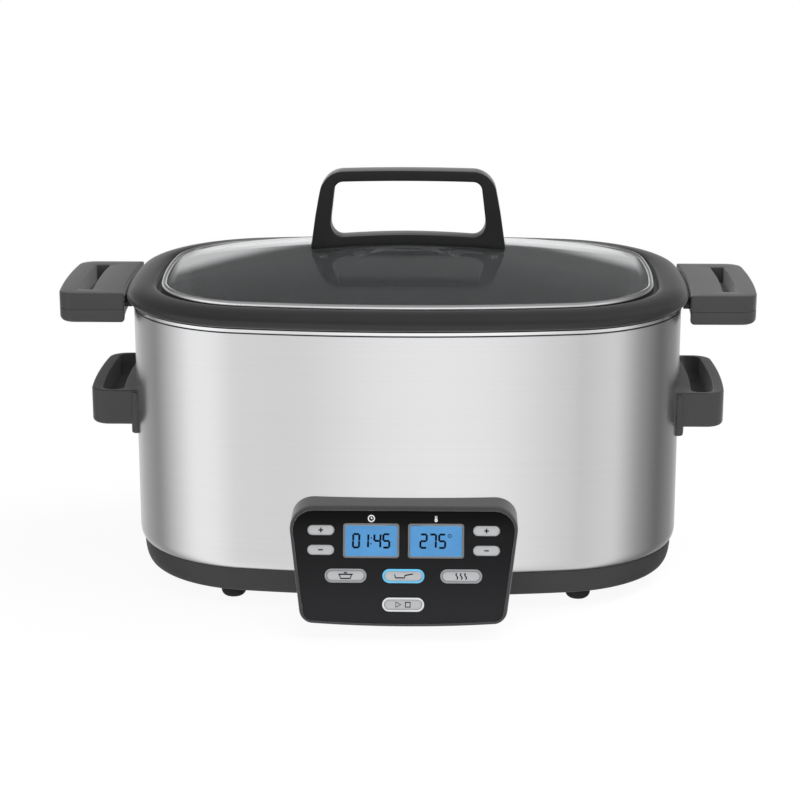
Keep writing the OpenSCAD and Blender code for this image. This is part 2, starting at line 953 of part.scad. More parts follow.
module cord_gland() {
    wall_y = front_at(0, 0);
    nut_high = -steel_t - fit_gap - gland_drop;
    color(black)
    translate([0, wall_y, gland_z])
        rotate([-90, 0, 0])
            difference() {
                union() {
                    rod(gland_d, nut_high - gland_nut_t, fit_gap + eps);
                    rod(gland_flange_d, fit_gap, fit_gap + gland_flange_t);
                    rod(gland_flange_d, nut_high - gland_nut_t, nut_high);
                }
                rod(gland_bore_d, -through, through);
            }
}

// A ring of the finger scoop, from its mouth at a share of 0 to its floor at 1
function scoop_ring(share, z) =
    let (
        slope = scoop_slope * share,
        r = scoop_round - slope,
        half = side_half - scoop_end - scoop_ramp * share
    )
    [for (q = rounded(band(half, scoop_in + slope, side_reach - scoop_lip - slope), band_radii(r, r)))
        [q[0], q[1], z]];

module side_handle(side) {
    side_top = side_z + side_h;
    color(dark_grey)
    on_side(side)
        difference() {
            union() {
                plate(rounded(band(side_half, -steel_t, side_reach), band_radii(side_round, 0)), side_z, side_top);
                plate(rounded(band(side_flange_half, -steel_t, side_flange_t), band_radii(side_flange_r, 0)),
                    side_z - side_flange_low, side_top - side_flange_drop);
            }
            plate(oval(fit_gap), 0, through);
            skin([scoop_ring(1, side_top - scoop_depth), scoop_ring(0, side_top), scoop_ring(0, side_top + over)],
                false);
            for (y = [-side_screw_y, side_screw_y])
                translate([0, y, side_screw_z])
                    rotate([0, 90, 0])
                        rod(screw_hole_d, 0, side_at(y, 0) + side_screw_reach + over);
        }
}

module side_handle_left() {
    side_handle(-1);
}

module side_handle_right() {
    side_handle(1);
}

module side_handle_plates() {
    back = steel_t + fit_gap;
    color(steel)
    for (side = [-1, 1])
        on_side(side)
            difference() {
                intersection() {
                    plate(band(plate_half, -back - plate_t, 0), plate_z, plate_z + plate_h);
                    plate(oval(-back), 0, through);
                }
                for (y = [-side_screw_y, side_screw_y])
                    translate([0, y, side_screw_z])
                        rotate([0, 90, 0])
                            rod(screw_hole_d, 0, through);
            }
}

module side_handle_screws() {
    back = steel_t + 2 * fit_gap + plate_t + seat_gap;
    color(steel)
    for (side = [-1, 1], y = [-side_screw_y, side_screw_y])
        on_side(side)
            translate([side_at(y, -back), y, side_screw_z])
                rotate([0, 90, 0])
                    screw(side_screw_reach + back);
}

module panel_housing() {
    lean = cos(face_tilt);
    depth = body_d / 2;
    color(dark_grey)
    difference() {
        union() {
            difference() {
                on_bezel()
                    plate(panel_outline(0, lean), -depth, panel_h);
                on_bezel()
                    plate(panel_outline(panel_wall, lean), -depth - over, panel_h + over);
                on_face()
                    plate(display_plan(display_room, pocket_high), display_z - display_t - display_room, 0);
            }
            intersection() {
                on_bezel()
                    plate(panel_outline(rib_in, lean), -depth, panel_h);
                for (p = rib_places)
                    translate([p[0] > 0 ? rib_x : -rib_x - rib_w, -rib_front, p[1] - rib_h / 2])
                        cube([rib_w, face_reach, rib_h]);
            }
        }
        on_face()
            plate(rect(2 * panel_top_w, 3 * panel_h), bezel_proud, through);
        on_face()
            plate(panel_outline(bezel_w, 1), -face_t, bezel_proud + over);
        plate(oval(fit_gap), 0, through);
        for (p = rib_places)
            translate([p[0] * panel_screw_x, 0, p[1]])
                rotate([90, 0, 0])
                    rod(screw_hole_d, 0, front_at(panel_screw_x, 0) + panel_screw_reach + over);
    }
}

module panel_screws() {
    back = steel_t + fit_gap + seat_gap;
    color(steel)
    for (p = rib_places)
        translate([p[0] * panel_screw_x, -front_at(panel_screw_x, -back) + seat_gap, p[1]])
            rotate([90, 0, 0])
                screw(back + panel_screw_reach);
}

module panel_face() {
    color(black)
    on_face()
        difference() {
            union() {
                plate(panel_outline(bezel_w + fit_gap, 1), -face_t, 0);
                at_places(post_places)
                    rod(post_d, display_z, -face_t + eps);
            }
            at_places(post_places)
                rod(post_bore_d + 2 * fit_gap, display_z - over, -face_t);
            for (x = [-window_x, window_x])
                translate([x, window_y, 0])
                    plate(soft_rect(window_w + 2 * fit_gap, window_h + 2 * fit_gap, window_r),
                        -face_t - over, over);
            at_places(key_places)
                plate(pill(key_w + 2 * key_gap, key_h + 2 * key_gap), -face_t - over, over);
            at_places(mode_places)
                plate(pill(mode_w + 2 * fit_gap, mode_h + 2 * fit_gap), -face_t - over, over);
        }
}

module window_frame(x) {
    color(key_silver)
    on_face()
        translate([x, window_y, 0])
            difference() {
                plate(soft_rect(window_w, window_h, window_r), -face_t, window_frame_proud);
                plate(soft_rect(window_w - 2 * window_frame_w, window_h - 2 * window_frame_w, window_r / 2),
                    -face_t - over, window_frame_proud + over);
            }
}

module time_frame() {
    window_frame(-window_x);
}

module temp_frame() {
    window_frame(window_x);
}

module window_pane(x) {
    inset = 2 * (window_frame_w + fit_gap);
    color(glass_tint)
    on_face()
        translate([x, window_y, 0])
            plate(soft_rect(window_w - inset, window_h - inset, window_r / 2), -pane_t, 0);
}

module time_window() {
    window_pane(-window_x);
}

module temp_window() {
    window_pane(window_x);
}

module lcd(x) {
    inset = 2 * (window_frame_w + 2 * fit_gap);
    color(lcd_blue)
    on_face()
        translate([x, window_y, 0])
            plate(soft_rect(window_w - inset, window_h - inset, window_r / 2), display_z, -pane_t - fit_gap);
}

module time_lcd() {
    lcd(-window_x);
}

module temp_lcd() {
    lcd(window_x);
}

module display_board() {
    color(board_green)
    on_face()
        difference() {
            plate(display_plan(0, display_high), display_z - display_t, display_z);
            at_places(post_places)
                rod(post_bore_d + 2 * fit_gap, display_z - display_t - over, display_z + over);
        }
}

module display_screws() {
    color(steel)
    on_face()
        at_places(post_places) {
            rod(small_head_d, display_z - display_t - small_head_h, display_z - display_t);
            rod(post_bore_d, display_z - display_t - eps, display_z + small_reach);
        }
}

module tact_switches() {
    color(black)
    on_face()
        at_places(concat(key_places, mode_places)) {
            plate(rect(switch_w, switch_w), display_z, display_z + switch_h);
            rod(plunger_d, display_z + switch_h - eps, display_z + switch_h + plunger_h);
        }
}

module key_ring(i, tint) {
    color(tint)
    on_face()
        translate(mode_places[i])
            difference() {
                plate(pill(mode_w, mode_h), -face_t, ring_proud);
                plate(pill(mode_w - 2 * ring_w, mode_h - 2 * ring_w), -face_t - over, ring_proud + over);
            }
}

module slow_ring() {
    key_ring(0, silicone);
}

module brown_ring() {
    key_ring(1, lit_blue);
}

module steam_ring() {
    key_ring(2, silicone);
}

module start_ring() {
    key_ring(3, ceramic);
}

// A key with its flange behind the face and its stem over the switch
module key(place, w, h) {
    flange_top_z = -face_t - seat_gap;
    stem_low = display_z + switch_h + plunger_h + key_travel + seat_gap;
    color(key_silver)
    on_face()
        translate(place) {
            plate(pill(w, h), flange_top_z - eps, key_proud);
            plate(pill(w + 2 * key_flange + key_gap, h + 2 * key_flange + key_gap),
                flange_top_z - key_flange, flange_top_z);
            rod(key_stem_d, stem_low, flange_top_z - key_flange + eps);
        }
}

module small_key(i) {
    key(key_places[i], key_w, key_h);
}

module wide_key(i) {
    inset = 2 * (ring_w + key_gap);
    key(mode_places[i], mode_w - inset, mode_h - inset);
}

module time_up_key() {
    small_key(0);
}

module time_down_key() {
    small_key(1);
}

module temp_up_key() {
    small_key(2);
}

module temp_down_key() {
    small_key(3);
}

module slow_key() {
    wide_key(0);
}

module brown_key() {
    wide_key(1);
}

module steam_key() {
    wide_key(2);
}

module start_key() {
    wide_key(3);
}

module cooking_pot() {
    wall_in = ledge_in + ledge_round;
    foot_in = wall_in + pot_draft;
    outer_round = pot_round + pot_floor_t;
    section = concat(
        quarter([-foot_in - pot_round, pot_under_z], [-foot_in + pot_wall, pot_under_z + outer_round]),
        [
            [-wall_in + pot_wall, pot_z + pot_neck], [-wall_in + 2 * pot_wall, pot_z + ledge_drop],
            [-mouth_in + pot_wall, pot_z + pot_wall], [-seat_in, pot_z]
        ],
        quarter([-seat_out, pot_z], [collar_out, pot_z + collar_low_h]),
        [for (i = [1:2 * round_steps]) let (t = 90 * i / (2 * round_steps))
            [-crest_in + (collar_out + crest_in) * cos(t),
                pot_z + collar_low_h + (collar_h - collar_low_h) * sin(t)]],
        [for (i = [1:round_steps]) let (t = 90 * i / round_steps)
            [-crest_in - (mouth_in - crest_in) * sin(t), crest_z - collar_lip * (1 - cos(t))]],
        [[-mouth_in, ledge_z], [-ledge_in, ledge_z], [-wall_in, ledge_z - ledge_round]],
        quarter_up([-foot_in, pot_floor_z + pot_round], [-foot_in - pot_round, pot_floor_z])
    );
    color(black)
    difference() {
        union() {
            skin(levels(section), false);
            for (side = [-1, 1])
                on_side(side)
                    plate(rounded(band(lug_half, lug_in, lug_out), band_radii(lug_round, 0)),
                        grip_part_z + fit_gap, grip_part_z + lug_t);
        }
        for (side = [-1, 1], y = [-grip_screw_y, grip_screw_y])
            translate([side * side_at(y, grip_screw_o), y, 0])
                rod(screw_hole_d, grip_part_z - over, grip_part_z + lug_t + over);
    }
}

module grip_plan(low, high) {
    outline = band(grip_half, grip_gap, grip_gap + grip_w);
    plate(rounded(outline, band_radii(grip_round, grip_inner_r)), low, high);
}

module grip_holes(d, low, high) {
    for (y = [-grip_screw_y, grip_screw_y])
        translate([side_at(y, grip_screw_o), y, 0])
            rod(d, low, high);
}

module grip_top(side) {
    color(dark_grey)
    on_side(side)
        difference() {
            grip_plan(grip_part_z, grip_part_z + grip_top_t);
            plate(rounded(band(slot_half, slot_in, slot_in + slot_w), band_radii(slot_round, slot_round)),
                grip_part_z - over, grip_part_z + grip_top_t + over);
            plate(band(lug_half + fit_gap, 0, lug_out + fit_gap),
                grip_part_z - over, grip_part_z + lug_t + fit_gap);
            grip_holes(screw_hole_d, grip_part_z, grip_part_z + grip_screw_up + over);
        }
}

module grip_top_left() {
    grip_top(-1);
}

module grip_top_right() {
    grip_top(1);
}

module grip_base(side) {
    low = grip_part_z - grip_base_t;
    color(dark_grey)
    on_side(side)
        difference() {
            grip_plan(low, grip_part_z);
            grip_holes(screw_hole_d, low - over, grip_part_z + over);
            grip_holes(head_d + head_room, low - over, low + head_h + head_room);
        }
}

module grip_base_left() {
    grip_base(-1);
}

module grip_base_right() {
    grip_base(1);
}

module grip_screws() {
    low = grip_part_z - grip_base_t + head_h + head_room;
    color(steel)
    for (side = [-1, 1], y = [-grip_screw_y, grip_screw_y])
        translate([side * side_at(y, grip_screw_o), y, low])
            screw(grip_part_z + grip_screw_up - low);
}

// A ring of the dome, at a share of the way out to the band
function dome_ring(share, drop) = [for (q = oval(-band_in))
    [q[0] * share, q[1] * share, glass_top_z + dome_h * (1 - pow(share, dome_power)) - drop]];

module lid_glass() {
    shares = [for (i = [0:dome_rings]) dome_tip + (1 - dome_tip) * i / dome_rings];
    rings = concat(
        [for (s = shares) dome_ring(s, glass_t)],
        [level(-glass_edge_in, glass_low_z), level(-glass_edge_in, glass_top_z)],
        [for (i = [dome_rings:-1:0]) dome_ring(shares[i], 0)]
    );
    color(glass_tint, 0.6)
    difference() {
        skin(rings, false);
        for (x = [-handle_x, handle_x])
            translate([x, 0, 0])
                rod(glass_hole_d, glass_low_z, dome_z + over);
    }
}

module lid_band() {
    outer = mouth_in + lid_gap;
    section = concat(
        [[-band_in, lid_z], [-outer - band_t, lid_z], [-outer, lid_z + band_t]],
        quarter_up([-outer, band_top_z - band_roll], [-outer - band_roll, band_top_z]),
        [
            [-band_in, band_top_z], [-band_in, band_top_z - band_t],
            [-outer - band_t, band_top_z - band_t], [-outer - band_t, lid_z + band_t],
            [-band_in, lid_z + band_t]
        ]
    );
    color(polished)
    skin(levels(section), true);
}

// Points along the glass, at a gap over it
function over_dome(half, gap, facets) = [for (i = [-facets:facets])
    let (x = half * i / facets)
    [x, dome_at(x) + gap]];

// Points along an upper edge of the handle, from right to left
function handle_crown(half, z) = [for (i = [crown_facets:-1:-crown_facets])
    let (s = i / crown_facets)
    [half * s, z - handle_bow * s * s]];

// Corner radii of a run of points whose two ends alone are rounded
function end_radii(facets, r) = [for (i = [-facets:facets]) abs(i) == facets ? r : 0];

module lid_handle() {
    top = handle_z + handle_h;
    foot_gap = gasket_t + 2 * fit_gap;
    inner_low = handle_w / 2 - handle_leg;
    inner_top = handle_top_w / 2 - handle_leg * handle_taper;
    outline = rounded(
        concat(over_dome(handle_w / 2, foot_gap, handle_facets), handle_crown(handle_top_w / 2, top)),
        concat(end_radii(handle_facets, 0), end_radii(crown_facets, handle_r))
    );
    window = rounded(
        concat(
            over_dome(inner_low, foot_gap + handle_bar, window_facets),
            handle_crown(inner_top, top - handle_top_bar)
        ),
        concat(end_radii(window_facets, handle_low_r), end_radii(crown_facets, handle_high_r))
    );
    color(black)
    difference() {
        rotate([90, 0, 0])
            plate(outline, -handle_d / 2, handle_d / 2);
        rotate([90, 0, 0])
            plate(window, -handle_d, handle_d);
        for (x = [-handle_x, handle_x])
            translate([x, 0, 0])
                rod(screw_hole_d, glass_low_z, handle_z + handle_screw_up + over);
    }
}

module lid_gasket() {
    half = handle_w / 2 - gasket_in;
    low = over_dome(half, fit_gap, handle_facets);
    high = over_dome(half, fit_gap + gasket_t, handle_facets);
    color(silicone)
    difference() {
        rotate([90, 0, 0])
            plate(concat(low, [for (i = [len(high) - 1:-1:0]) high[i]]),
                gasket_in - handle_d / 2, handle_d / 2 - gasket_in);
        for (x = [-handle_x, handle_x])
            translate([x, 0, 0])
                rod(glass_hole_d, glass_low_z, dome_z + through);
    }
}

// Slope of the glass where the handle's screws pass, and the seat of their washers under it
screw_slope = atan(dome_h * dome_power / dome_a * pow(handle_x / dome_a, dome_power - 1));
washer_z = dome_at(handle_x) - glass_t / cos(screw_slope) - seat_gap;

module lid_screws() {
    low = washer_z - washer_t - seat_gap - head_d / 2 * tan(screw_slope);
    color(steel)
    for (x = [-handle_x, handle_x])
        translate([x, 0, low])
            screw(handle_z + handle_screw_up - low);
}

module lid_washers() {
    color(silicone)
    for (side = [-1, 1])
        on_side(side)
            translate([handle_x, 0, washer_z])
                rotate([0, screw_slope, 0])
                    difference() {
                        rod(washer_d, -washer_t, 0);
                        rod(screw_d + washer_slack, -washer_t - over, over);
                    }
}

base_tray();
feet();
housing_shell();
top_trim_ring();
inner_well();
well_standoffs();
base_screws();
heating_element();
element_bushings();
element_clips();
sensor_bush();
sensor_spring();
sensor_cap();
thermal_fuse();
power_board();
board_screws();
heater_leads();
panel_ribbon();
cord_gland();
side_handle_left();
side_handle_right();
side_handle_plates();
side_handle_screws();
panel_housing();
panel_screws();
panel_face();
time_frame();
temp_frame();
time_window();
temp_window();
time_lcd();
temp_lcd();
display_board();
display_screws();
tact_switches();
slow_ring();
brown_ring();
steam_ring();
start_ring();
time_up_key();
time_down_key();
temp_up_key();
temp_down_key();
slow_key();
brown_key();
steam_key();
start_key();
cooking_pot();
grip_top_left();
grip_top_right();
grip_base_left();
grip_base_right();
grip_screws();
lid_glass();
lid_band();
lid_handle();
lid_gasket();
lid_screws();
lid_washers();
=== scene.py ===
import json
import math
import bmesh
import bpy
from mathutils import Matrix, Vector

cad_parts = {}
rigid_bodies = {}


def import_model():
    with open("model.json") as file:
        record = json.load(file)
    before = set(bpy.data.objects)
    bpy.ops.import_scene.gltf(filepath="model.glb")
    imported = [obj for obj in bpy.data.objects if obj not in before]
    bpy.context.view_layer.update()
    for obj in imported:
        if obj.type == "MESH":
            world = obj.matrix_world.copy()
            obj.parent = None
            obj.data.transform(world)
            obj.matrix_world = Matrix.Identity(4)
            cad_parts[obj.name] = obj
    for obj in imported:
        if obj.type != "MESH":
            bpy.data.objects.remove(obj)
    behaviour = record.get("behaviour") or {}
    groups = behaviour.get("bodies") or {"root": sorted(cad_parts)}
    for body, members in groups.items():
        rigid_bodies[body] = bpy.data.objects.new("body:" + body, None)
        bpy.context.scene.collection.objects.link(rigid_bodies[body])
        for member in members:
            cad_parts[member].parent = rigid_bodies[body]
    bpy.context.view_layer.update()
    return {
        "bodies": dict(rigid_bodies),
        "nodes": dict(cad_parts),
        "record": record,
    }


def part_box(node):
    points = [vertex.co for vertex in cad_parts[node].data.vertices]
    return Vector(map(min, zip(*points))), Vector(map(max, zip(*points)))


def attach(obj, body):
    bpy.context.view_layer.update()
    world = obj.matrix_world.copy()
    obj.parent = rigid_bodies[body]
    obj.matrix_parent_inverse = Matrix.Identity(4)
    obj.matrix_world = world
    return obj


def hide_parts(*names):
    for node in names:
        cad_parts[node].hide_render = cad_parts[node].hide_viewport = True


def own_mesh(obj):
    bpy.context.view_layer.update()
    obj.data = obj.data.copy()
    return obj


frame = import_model()

scene = bpy.context.scene
scene.view_settings.view_transform = "Standard"
mm = 0.001  # pieces are drawn in millimetres
nudge = 0.01
deck = 2  # heights are drawn from a level this far over the table
sharpFold = 32  # degrees: an edge that folds more stays sharp
noiseDetail = 3.0
sides = {"left": -1, "right": 1}


# shader maths: a socket that takes part in Python expressions
class Wire:
    def __init__(self, shop, socket):
        self.shop = shop
        self.socket = socket

    def math(self, operation, *values):
        return self.shop.add("ShaderNodeMath", {"operation": operation}, dict(enumerate(values)))

    def __add__(self, other):
        return self.math("ADD", self, other)

    def __radd__(self, other):
        return self.math("ADD", other, self)

    def __sub__(self, other):
        return self.math("SUBTRACT", self, other)

    def __rsub__(self, other):
        return self.math("SUBTRACT", other, self)

    def __mul__(self, other):
        return self.math("MULTIPLY", self, other)

    def __rmul__(self, other):
        return self.math("MULTIPLY", other, self)

    def __truediv__(self, other):
        return self.math("DIVIDE", self, other)

    def __rtruediv__(self, other):
        return self.math("DIVIDE", other, self)


# one node tree, and the one way a node gets into it
class Shop:
    def __init__(self, tree):
        self.tree = tree
        tree.nodes.clear()

    def add(self, kind, settings=None, inputs=None, output=0):
        node = self.tree.nodes.new(kind)
        for name, value in (settings or {}).items():
            if name == "stops":
                self.fillRamp(node.color_ramp.elements, value)
            else:
                setattr(node, name, value)
        for name, value in (inputs or {}).items():
            if isinstance(value, Wire):
                self.tree.links.new(value.socket, node.inputs[name])
            else:
                node.inputs[name].default_value = value
        return Wire(self, node.outputs[output]) if len(node.outputs) else None

    def fillRamp(self, elements, stops):
        elements.remove(elements[1])
        for i, (place, value) in enumerate(stops):
            element = elements[0] if i == 0 else elements.new(place)
            element.position = place
            element.color = (value, value, value, 1)

    def mix(self, factor, first, second):
        return self.add("ShaderNodeMix", {"data_type": "RGBA"}, {0: factor, 6: first, 7: second}, 2)

    def ease(self, value, low, high):
        return self.add("ShaderNodeMapRange", {"interpolation_type": "SMOOTHSTEP"},
                        {"Value": value, "From Min": low, "From Max": high})

    def noise(self, place, scale, detail):
        return self.add("ShaderNodeTexNoise", None, {"Vector": place, "Scale": scale, "Detail": detail})


def tone(colour, share):
    return tuple(c * share for c in colour) + (1,)


# base colour, roughness, how far both wander, grain and cloud scales per metre, bump height in mm
looks = {
    "brushed_housing": dict(base=(0.83, 0.83, 0.84), rough=0.29, wander=(0.025, 0.05), scales=(1, 0.3),
        stretch=(9, 9, 2600), bump=0.0015, metal=1.0, sockets={"Anisotropic": 0.8, "Anisotropic Rotation": 0.25}),
    "polished_trim": dict(base=(0.93, 0.93, 0.94), rough=0.1, wander=(0.03, 0.08), scales=(260, 14), bump=0.001,
        metal=1.0),
    "band_steel": dict(base=(0.93, 0.93, 0.94), rough=0.24, wander=(0.03, 0.06), scales=(1, 0.3),
        stretch=(30, 30, 2200), bump=0.001, metal=1.0),
    "well_sheet": dict(base=(0.6, 0.6, 0.6), rough=0.42, wander=(0.14, 0.2), scales=(420, 22), bump=0.01,
        metal=1.0),
    "dark_plastic": dict(base=(0.042, 0.042, 0.044), rough=0.46, wander=(0.1, 0.16), scales=(1900, 30), bump=0.03,
        sockets={"Sheen Weight": 0.35, "Sheen Roughness": 0.35}),
    "tray_plastic": dict(base=(0.034, 0.034, 0.036), rough=0.5, wander=(0.1, 0.16), scales=(1900, 30), bump=0.03),
    "black_plastic": dict(base=(0.011, 0.011, 0.0115), rough=0.44, wander=(0.12, 0.14), scales=(1700, 30),
        bump=0.02, sockets={"Specular IOR Level": 0.25, "Sheen Weight": 0.5, "Sheen Roughness": 0.35}),
    "foot_rubber": dict(base=(0.016, 0.016, 0.016), rough=0.82, wander=(0.2, 0.2), scales=(1200, 60), bump=0.05),
    "pot_coating": dict(base=(0.015, 0.015, 0.016), rough=0.36, wander=(0.18, 0.14), scales=(2400, 26), bump=0.018,
        sockets={"Sheen Weight": 0.15, "Sheen Roughness": 0.35}),
    "lid_clear": dict(base=(0.82, 0.85, 0.86), rough=0.015, wander=(0.02, 0.02), scales=(60, 8), bump=0.0004,
        sockets={"Transmission Weight": 0.975, "IOR": 1.5}),
    "window_clear": dict(base=(0.97, 0.98, 1.0), rough=0.02, wander=(0.01, 0.02), scales=(300, 40), bump=0.0004,
        sockets={"Transmission Weight": 1.0, "IOR": 1.01}),
    "key_silver": dict(base=(0.5, 0.51, 0.52), rough=0.36, wander=(0.05, 0.12), scales=(2600, 90), bump=0.006,
        metal=0.35),
    "frame_grey": dict(base=(0.17, 0.17, 0.175), rough=0.36, wander=(0.06, 0.1), scales=(2400, 90), bump=0.004),
    "ring_grey": dict(base=(0.3, 0.31, 0.33), rough=0.34, wander=(0.08, 0.1), scales=(1500, 120), bump=0.004),
    "ring_white": dict(base=(0.74, 0.75, 0.76), rough=0.34, wander=(0.04, 0.1), scales=(1500, 120), bump=0.004),
    "bright_steel": dict(base=(0.62, 0.62, 0.64), rough=0.26, wander=(0.08, 0.16), scales=(900, 60), bump=0.006,
        metal=1.0),
    "element_sheath": dict(base=(0.12, 0.105, 0.095), rough=0.55, wander=(0.4, 0.2), scales=(900, 32), bump=0.03,
        metal=0.6),
    "brass_post": dict(base=(0.68, 0.5, 0.2), rough=0.28, wander=(0.08, 0.16), scales=(1, 0.2),
        stretch=(40, 40, 1800), bump=0.008, metal=1.0),
    "ceramic_white": dict(base=(0.78, 0.75, 0.68), rough=0.6, wander=(0.06, 0.2), scales=(1400, 80), bump=0.03),
    "silicone_grey": dict(base=(0.05, 0.05, 0.052), rough=0.6, wander=(0.12, 0.16), scales=(1500, 60), bump=0.02),
    "mark_dark": dict(base=(0.005, 0.006, 0.009), rough=0.5, wander=(0.1, 0.1), scales=(2000, 200), bump=0.001,
        sockets={"Specular IOR Level": 0.0}),
    "mark_light": dict(base=(0.85, 0.85, 0.86), rough=0.5, wander=(0.06, 0.1), scales=(2000, 200), bump=0.001),
}


def surfaceFor(name, look, extra):
    material = bpy.data.materials.new(name)
    material.use_nodes = True
    shop = Shop(material.node_tree)
    place = shop.add("ShaderNodeTexCoord", output="Object")
    if "stretch" in look:
        place = shop.add("ShaderNodeMapping", None, {"Vector": place, "Scale": look["stretch"]})
    grain, cloud = (shop.noise(place, scale, noiseDetail) for scale in look["scales"])
    colourBy, roughBy = look["wander"]
    colour = shop.mix(cloud, tone(look["base"], 1 - colourBy), tone(look["base"], 1 + colourBy))
    rough = look["rough"] + (grain - 0.5) * roughBy  # noise swings about a half
    relief = shop.add("ShaderNodeBump", None, {"Height": grain, "Strength": 1.0, "Distance": look["bump"] * mm})
    sockets = {"Base Color": colour, "Roughness": rough, "Normal": relief, "Metallic": look.get("metal", 0.0)}
    sockets.update(look.get("sockets", {}))
    sockets.update(extra(shop, place, cloud) if extra else {})
    surface = shop.add("ShaderNodeBsdfPrincipled", None, sockets)
    shop.add("ShaderNodeOutputMaterial", None, {"Surface": surface})
    return material


display = dict(base=(0.01, 0.02, 0.03), rough=0.3, wander=(0.1, 0.06), scales=(900, 60),
               bump=0.001, glow=(0.1, 0.31, 0.61), tones=(0.8, 1.2), dots=2600, dotDetail=1.0,
               shares=(0.6, 0.4), sockets={"Emission Strength": 1.0, "Specular IOR Level": 0.0})


def backlight(shop, place, cloud):  # the blue of a display: uneven glow and a fine dot grid
    dots = shop.noise(place, display["dots"], display["dotDetail"])
    cloudShare, dotShare = display["shares"]
    dim, bright = (tone(display["glow"], part) for part in display["tones"])
    return {"Emission Color": shop.mix(cloud * cloudShare + dots * dotShare, dim, bright)}


guide = dict(base=(0.05, 0.16, 0.22), rough=0.3, wander=(0.1, 0.06), scales=(900, 70), bump=0.002,
             glow=(0.1, 0.5, 0.83), tones=(0.7, 1.3), sockets={"Emission Strength": 0.8})


def litRing(shop, place, cloud):
    dim, bright = (tone(guide["glow"], part) for part in guide["tones"])
    return {"Emission Color": shop.mix(cloud, dim, bright)}


circuit = dict(base=(0.02, 0.15, 0.06), rough=0.4, wander=(0.2, 0.14), scales=(900, 60), bump=0.02,
               tones=(0.8, 1.2), track=(0.05, 0.27, 0.11), pitch=160, edge=(0.02, 0.06))


def copperTracks(shop, place, cloud):  # paler lines where tracks run under the mask
    cells = shop.add("ShaderNodeTexVoronoi", {"distance": "MANHATTAN", "feature": "DISTANCE_TO_EDGE"},
                     {"Vector": place, "Scale": circuit["pitch"]})
    line = 1 - shop.ease(cells, *circuit["edge"])
    dim, bright = (tone(circuit["base"], part) for part in circuit["tones"])
    return {"Base Color": shop.mix(line, shop.mix(cloud, dim, bright), tone(circuit["track"], 1))}


# the panel face's colour holds painted shade at the top and a painted reflection towards the foot
faceSheet = dict(base=(0.012, 0.012, 0.013), rough=0.24, wander=(0.1, 0.06), scales=(700, 30),
                 bump=0.002, zones=((0.064, 0.083), (0.012, 0.062)), tones=(0.25, 1.0, 1.9), shares=(0.9, 0.2),
                 sockets={"Coat Weight": 0.03, "Coat Roughness": 0.08, "Specular IOR Level": 0.045})


def shadeAndReflectionFace(shop, place, cloud):  # painted shade: near black at the top of the face; painted reflection: dark grey towards its foot
    height = shop.add("ShaderNodeSeparateXYZ", None, {"Vector": place}, "Z")
    (highStart, highEnd), (lowStart, lowEnd) = faceSheet["zones"]
    # the dark tone is painted shade and the pale tone a painted reflection
    dark, plain, pale = (tone(faceSheet["base"], part) for part in faceSheet["tones"])
    evenShare, cloudShare = faceSheet["shares"]
    lower = shop.mix(shop.ease(height, lowStart, lowEnd), pale, plain)
    upward = shop.ease(height, highStart, highEnd) * (evenShare + cloud * cloudShare)
    return {"Base Color": shop.mix(upward, lower, dark)}


finishes = {name: surfaceFor(name, look, None) for name, look in looks.items()}
finishes["lcd_screen"] = surfaceFor("lcd_screen", display, backlight)
finishes["panel_gloss"] = surfaceFor("panel_gloss", faceSheet, shadeAndReflectionFace)
finishes["ring_blue"] = surfaceFor("ring_blue", guide, litRing)
finishes["board"] = surfaceFor("board", circuit, copperTracks)
print("finishes:", len(finishes))

# the plan of the cooker: eight arcs, drawn by the bearing of their normal
plan = {"width": 400, "depth": 280, "cornerRadius": 95, "sideBow": 5, "frontBow": 9,
        "sidePoints": 6, "cornerPoints": 36, "frontPoints": 14}
sideBow = math.radians(plan["sideBow"])
frontBow = math.radians(plan["frontBow"])
cornerRadius = plan["cornerRadius"]
spanX = plan["width"] / 2 - cornerRadius
spanY = plan["depth"] / 2 - cornerRadius
sideLean = math.tan(sideBow / 2)
frontLean = math.tan(frontBow / 2)
cornerX = (spanX - sideLean * spanY) / (1 - sideLean * frontLean)
cornerY = (spanY - frontLean * spanX) / (1 - sideLean * frontLean)
sideRadius = cornerRadius + cornerY / math.sin(sideBow)
sideX = cornerX - cornerY / math.tan(sideBow)
frontRadius = cornerRadius + cornerX / math.sin(frontBow)
frontY = cornerY - cornerX / math.tan(frontBow)


def spread(low, high, count):
    return [low + (high - low) * i / count for i in range(count)]


square = math.pi / 2
rising = (spread(0, sideBow, plan["sidePoints"])
          + spread(sideBow, square - frontBow, plan["cornerPoints"])
          + spread(square - frontBow, square, plan["frontPoints"]))
falling = [square] + rising[:0:-1]
bearings = (rising + [math.pi - t for t in falling]
            + [math.pi + t for t in rising] + [2 * math.pi - t for t in falling])


def arcAt(bearing):  # centre and radius of the arc that has this bearing
    fold = bearing % math.pi
    fold = min(fold, math.pi - fold)
    alongX = -1 if math.cos(bearing) < 0 else 1
    alongY = -1 if math.sin(bearing) < 0 else 1
    if fold <= sideBow:
        return alongX * sideX, 0, sideRadius
    if fold < square - frontBow:
        return alongX * cornerX, alongY * cornerY, cornerRadius
    return 0, alongY * frontY, frontRadius


def oval(offset):
    points = []
    for t in bearings:
        x, y, r = arcAt(t)
        points.append((x + (r + offset) * math.cos(t), y + (r + offset) * math.sin(t)))
    return points


def sideAt(y, offset):
    if abs(y) <= (sideRadius + offset) * math.sin(sideBow):
        return sideX + math.sqrt((sideRadius + offset) ** 2 - y * y)
    return cornerX + math.sqrt((cornerRadius + offset) ** 2 - (abs(y) - cornerY) ** 2)


def frontAt(x, offset):
    return frontY + math.sqrt((frontRadius + offset) ** 2 - x * x)


# sections and outlines
def quarter(start, end, count=8):  # a quarter round that leaves start along the offset
    turns = [square * i / count for i in range(count + 1)]
    return [(start[0] + (end[0] - start[0]) * math.sin(t), start[1] + (end[1] - start[1]) * (1 - math.cos(t)))
            for t in turns]


